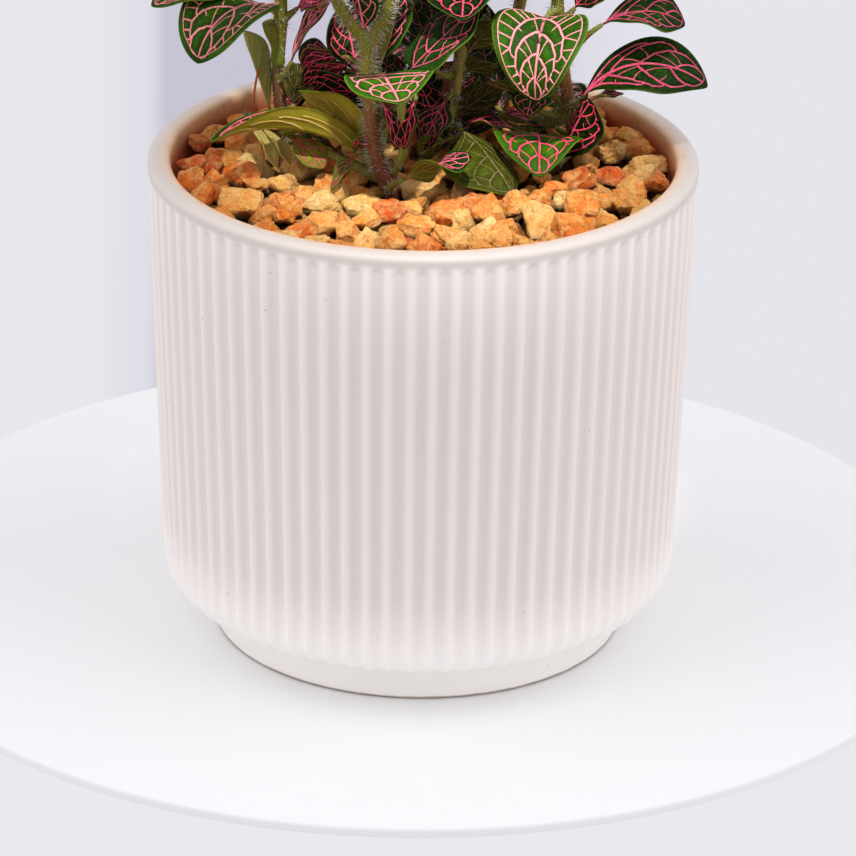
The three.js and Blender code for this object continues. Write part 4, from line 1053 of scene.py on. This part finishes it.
def make_gravel(leaves):
    rng = np.random.default_rng(23)
    stones = settle_stones(leaves)
    fine, coarse = sphere_net(FINE_POINTS), sphere_net(COARSE_POINTS)
    over, under = Shape(), Shape()
    tones, odds = [linear(*tone) for _, tone in STONE_TONES], [share for share, _ in STONE_TONES]
    marks = {}
    for spot, tone in MARKED_STONES:
        gaps = np.linalg.norm(stones[:, :2] - spot, axis=1) + np.where(stones[:, 2] < SHADED_BELOW, 100, 0)
        marks[int(gaps.argmin())] = linear(*tone)
    for number, (x, y, z, radius) in enumerate(stones):
        hidden = z < HIDDEN_BELOW
        directions, triangles = coarse if hidden else fine
        points, edge = stone_points(rng, directions)
        points = radius * 0.93 * points @ turned(rng, 0.6).T
        low = np.clip((0.02 - points[:, 2] / radius) / 0.42, 0, 1) ** 0.9
        deep = np.clip((SHADED_BELOW - z) / 4, 0, 1)
        shaded = 1 - (1 - 0.92 * low) * (1 - 0.75 * deep)
        points = points + [x, y, z]
        far = np.hypot(points[:, 0], points[:, 1])
        points[:, :2] *= np.minimum(1, (RIM_INNER_RADIUS - 0.25) / far)[:, None]
        points[:, 2] = np.maximum(points[:, 2], SOIL_TOP)
        tone = np.minimum(tones[rng.choice(len(tones), p=odds)] * rng.uniform(0.88, 1.15), 1)
        tone = marks.get(number, tone)
        (under if hidden else over).add(points, triangles, tint=tone, shaded=shaded, edge=edge)
    material = stone_paint()
    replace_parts(over.build("gravel_upper", "gravel", [material], smooth=False), "gravel")
    under.build("gravel_lower", "gravel", [material])


# Stage, camera, light

def make_floor():
    """A round table top with a worn edge."""
    sides, x, y, reach = 160, -2, 20, 134
    angle = np.arange(sides) * 2 * math.pi / sides
    rows = [(0.5, 0), (60, 0), (reach - 1.2, 0), (reach - 0.6, -0.12), (reach - 0.2, -0.4), (reach, -0.9),
            (reach, -2.4)]
    rings = [np.stack([x + r * np.cos(angle), y + r * np.sin(angle), np.full(sides, z)], 1) for r, z in rows]
    faces = ring_faces(len(rows), sides).tolist()
    add_object("floor", np.concatenate(rings), faces, [floor_paint()])


def make_backdrop():
    """A pale shell far behind everything, seen by the camera and lighting nothing."""
    paint = Paint("backdrop_lavender")
    x, _, z = paint.node("ShaderNodeSeparateXYZ", {0: paint.place}).outputs
    # Painted shadow: a darker band on the left of the shell, sharp on its left edge and fading out to the
    # right. The shell glows by its own emission.
    tone = paint.lay((232, 231, 237), (223, 222, 231), x, -0.34, -0.27)
    tone = paint.lay(tone, (199, 196, 211), x, -0.278, -0.256)
    tone = paint.lay(tone, (230, 229, 236), x, -0.06, 0.27)
    tone = paint.lay(tone, (234, 233, 237), z, -1.62, -1.7)
    glow = paint.node("ShaderNodeEmission", {0: tone})
    paint.tree.links.new(glow.outputs[0], paint.tree.nodes["Material Output"].inputs[0])
    paint.tree.nodes.remove(paint.shader)
    directions, triangles = sphere_net(600)
    shell = add_object("backdrop", directions * 4000, triangles.tolist(), [paint.material])
    for ray in ("diffuse", "glossy", "transmission", "volume_scatter", "shadow"):
        setattr(shell, f"visible_{ray}", False)


def make_world():
    world = bpy.data.worlds.new("studio")
    world.use_nodes = True
    back = world.node_tree.nodes["Background"]
    back.inputs["Color"].default_value = colour(238, 236, 242)
    back.inputs["Strength"].default_value = 0.86
    bpy.context.scene.world = world
    bpy.context.scene.view_settings.view_transform = "Standard"


def add_lamp(kind, name, place, aim, watts, **settings):
    """A lamp that looks from its place to its aim, in metres."""
    data = bpy.data.lights.new(name, kind)
    data.energy = watts
    for key, value in settings.items():
        setattr(data, key, value)
    lamp = bpy.data.objects.new(name, data)
    lamp.location = place
    lamp.rotation_mode = "QUATERNION"
    lamp.rotation_quaternion = (Vector(place) - Vector(aim)).to_track_quat("Z", "Y")
    bpy.context.scene.collection.objects.link(lamp)


def make_lamps():
    """A broad soft lamp at either side, and a small one whose cone ends inside the rim."""
    add_lamp("AREA", "key", (-1, -0.3, 1.15), (0, 0, 0.08), 7.8, shape="DISK", size=1.8)
    add_lamp("AREA", "fill", (1.05, -0.3, 1.15), (0, 0, 0.08), 8.6, shape="DISK", size=1.8)
    reach, distance = 0.0545, 1.3389
    add_lamp("SPOT", "top", (0.06, -0.7, 1.25), (0.002, 0.003, 0.112), 108,
             spot_size=2 * math.atan(reach / distance), spot_blend=0.35, shadow_soft_size=0.02)


# The camera's tilt in degrees, the point it aims at in millimetres, its distance and lens
CAMERA_PITCH, CAMERA_ROLL = 23.772, 0.817
CAMERA_AIM = (2.006, 0, 48.387)
CAMERA_DISTANCE, CAMERA_LENS = 1.3, 226.93


def make_camera():
    data = bpy.data.cameras.new("camera")
    data.sensor_width, data.lens = 36, CAMERA_LENS
    data.clip_start, data.clip_end = 0.05, 20
    camera = bpy.data.objects.new("camera", data)
    aim, away = Matrix.Translation(Vector(CAMERA_AIM) * MM), Matrix.Translation((0, 0, CAMERA_DISTANCE))
    tilt = Matrix.Rotation(math.radians(90 - CAMERA_PITCH), 4, "X")
    camera.matrix_world = aim @ tilt @ away @ Matrix.Rotation(math.radians(CAMERA_ROLL), 4, "Z")
    bpy.context.scene.collection.objects.link(camera)
    bpy.context.scene.camera = camera


make_camera()
make_world()
make_floor()
make_backdrop()
make_lamps()
make_pot()
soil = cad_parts["soil"]
soil.data.materials.clear()
soil.data.materials.append(soil_paint())
all_leaves = place_leaves() + [Leaf(*row) for row in SMALL_LEAVES]
make_gravel(all_leaves)
make_plant(all_leaves)
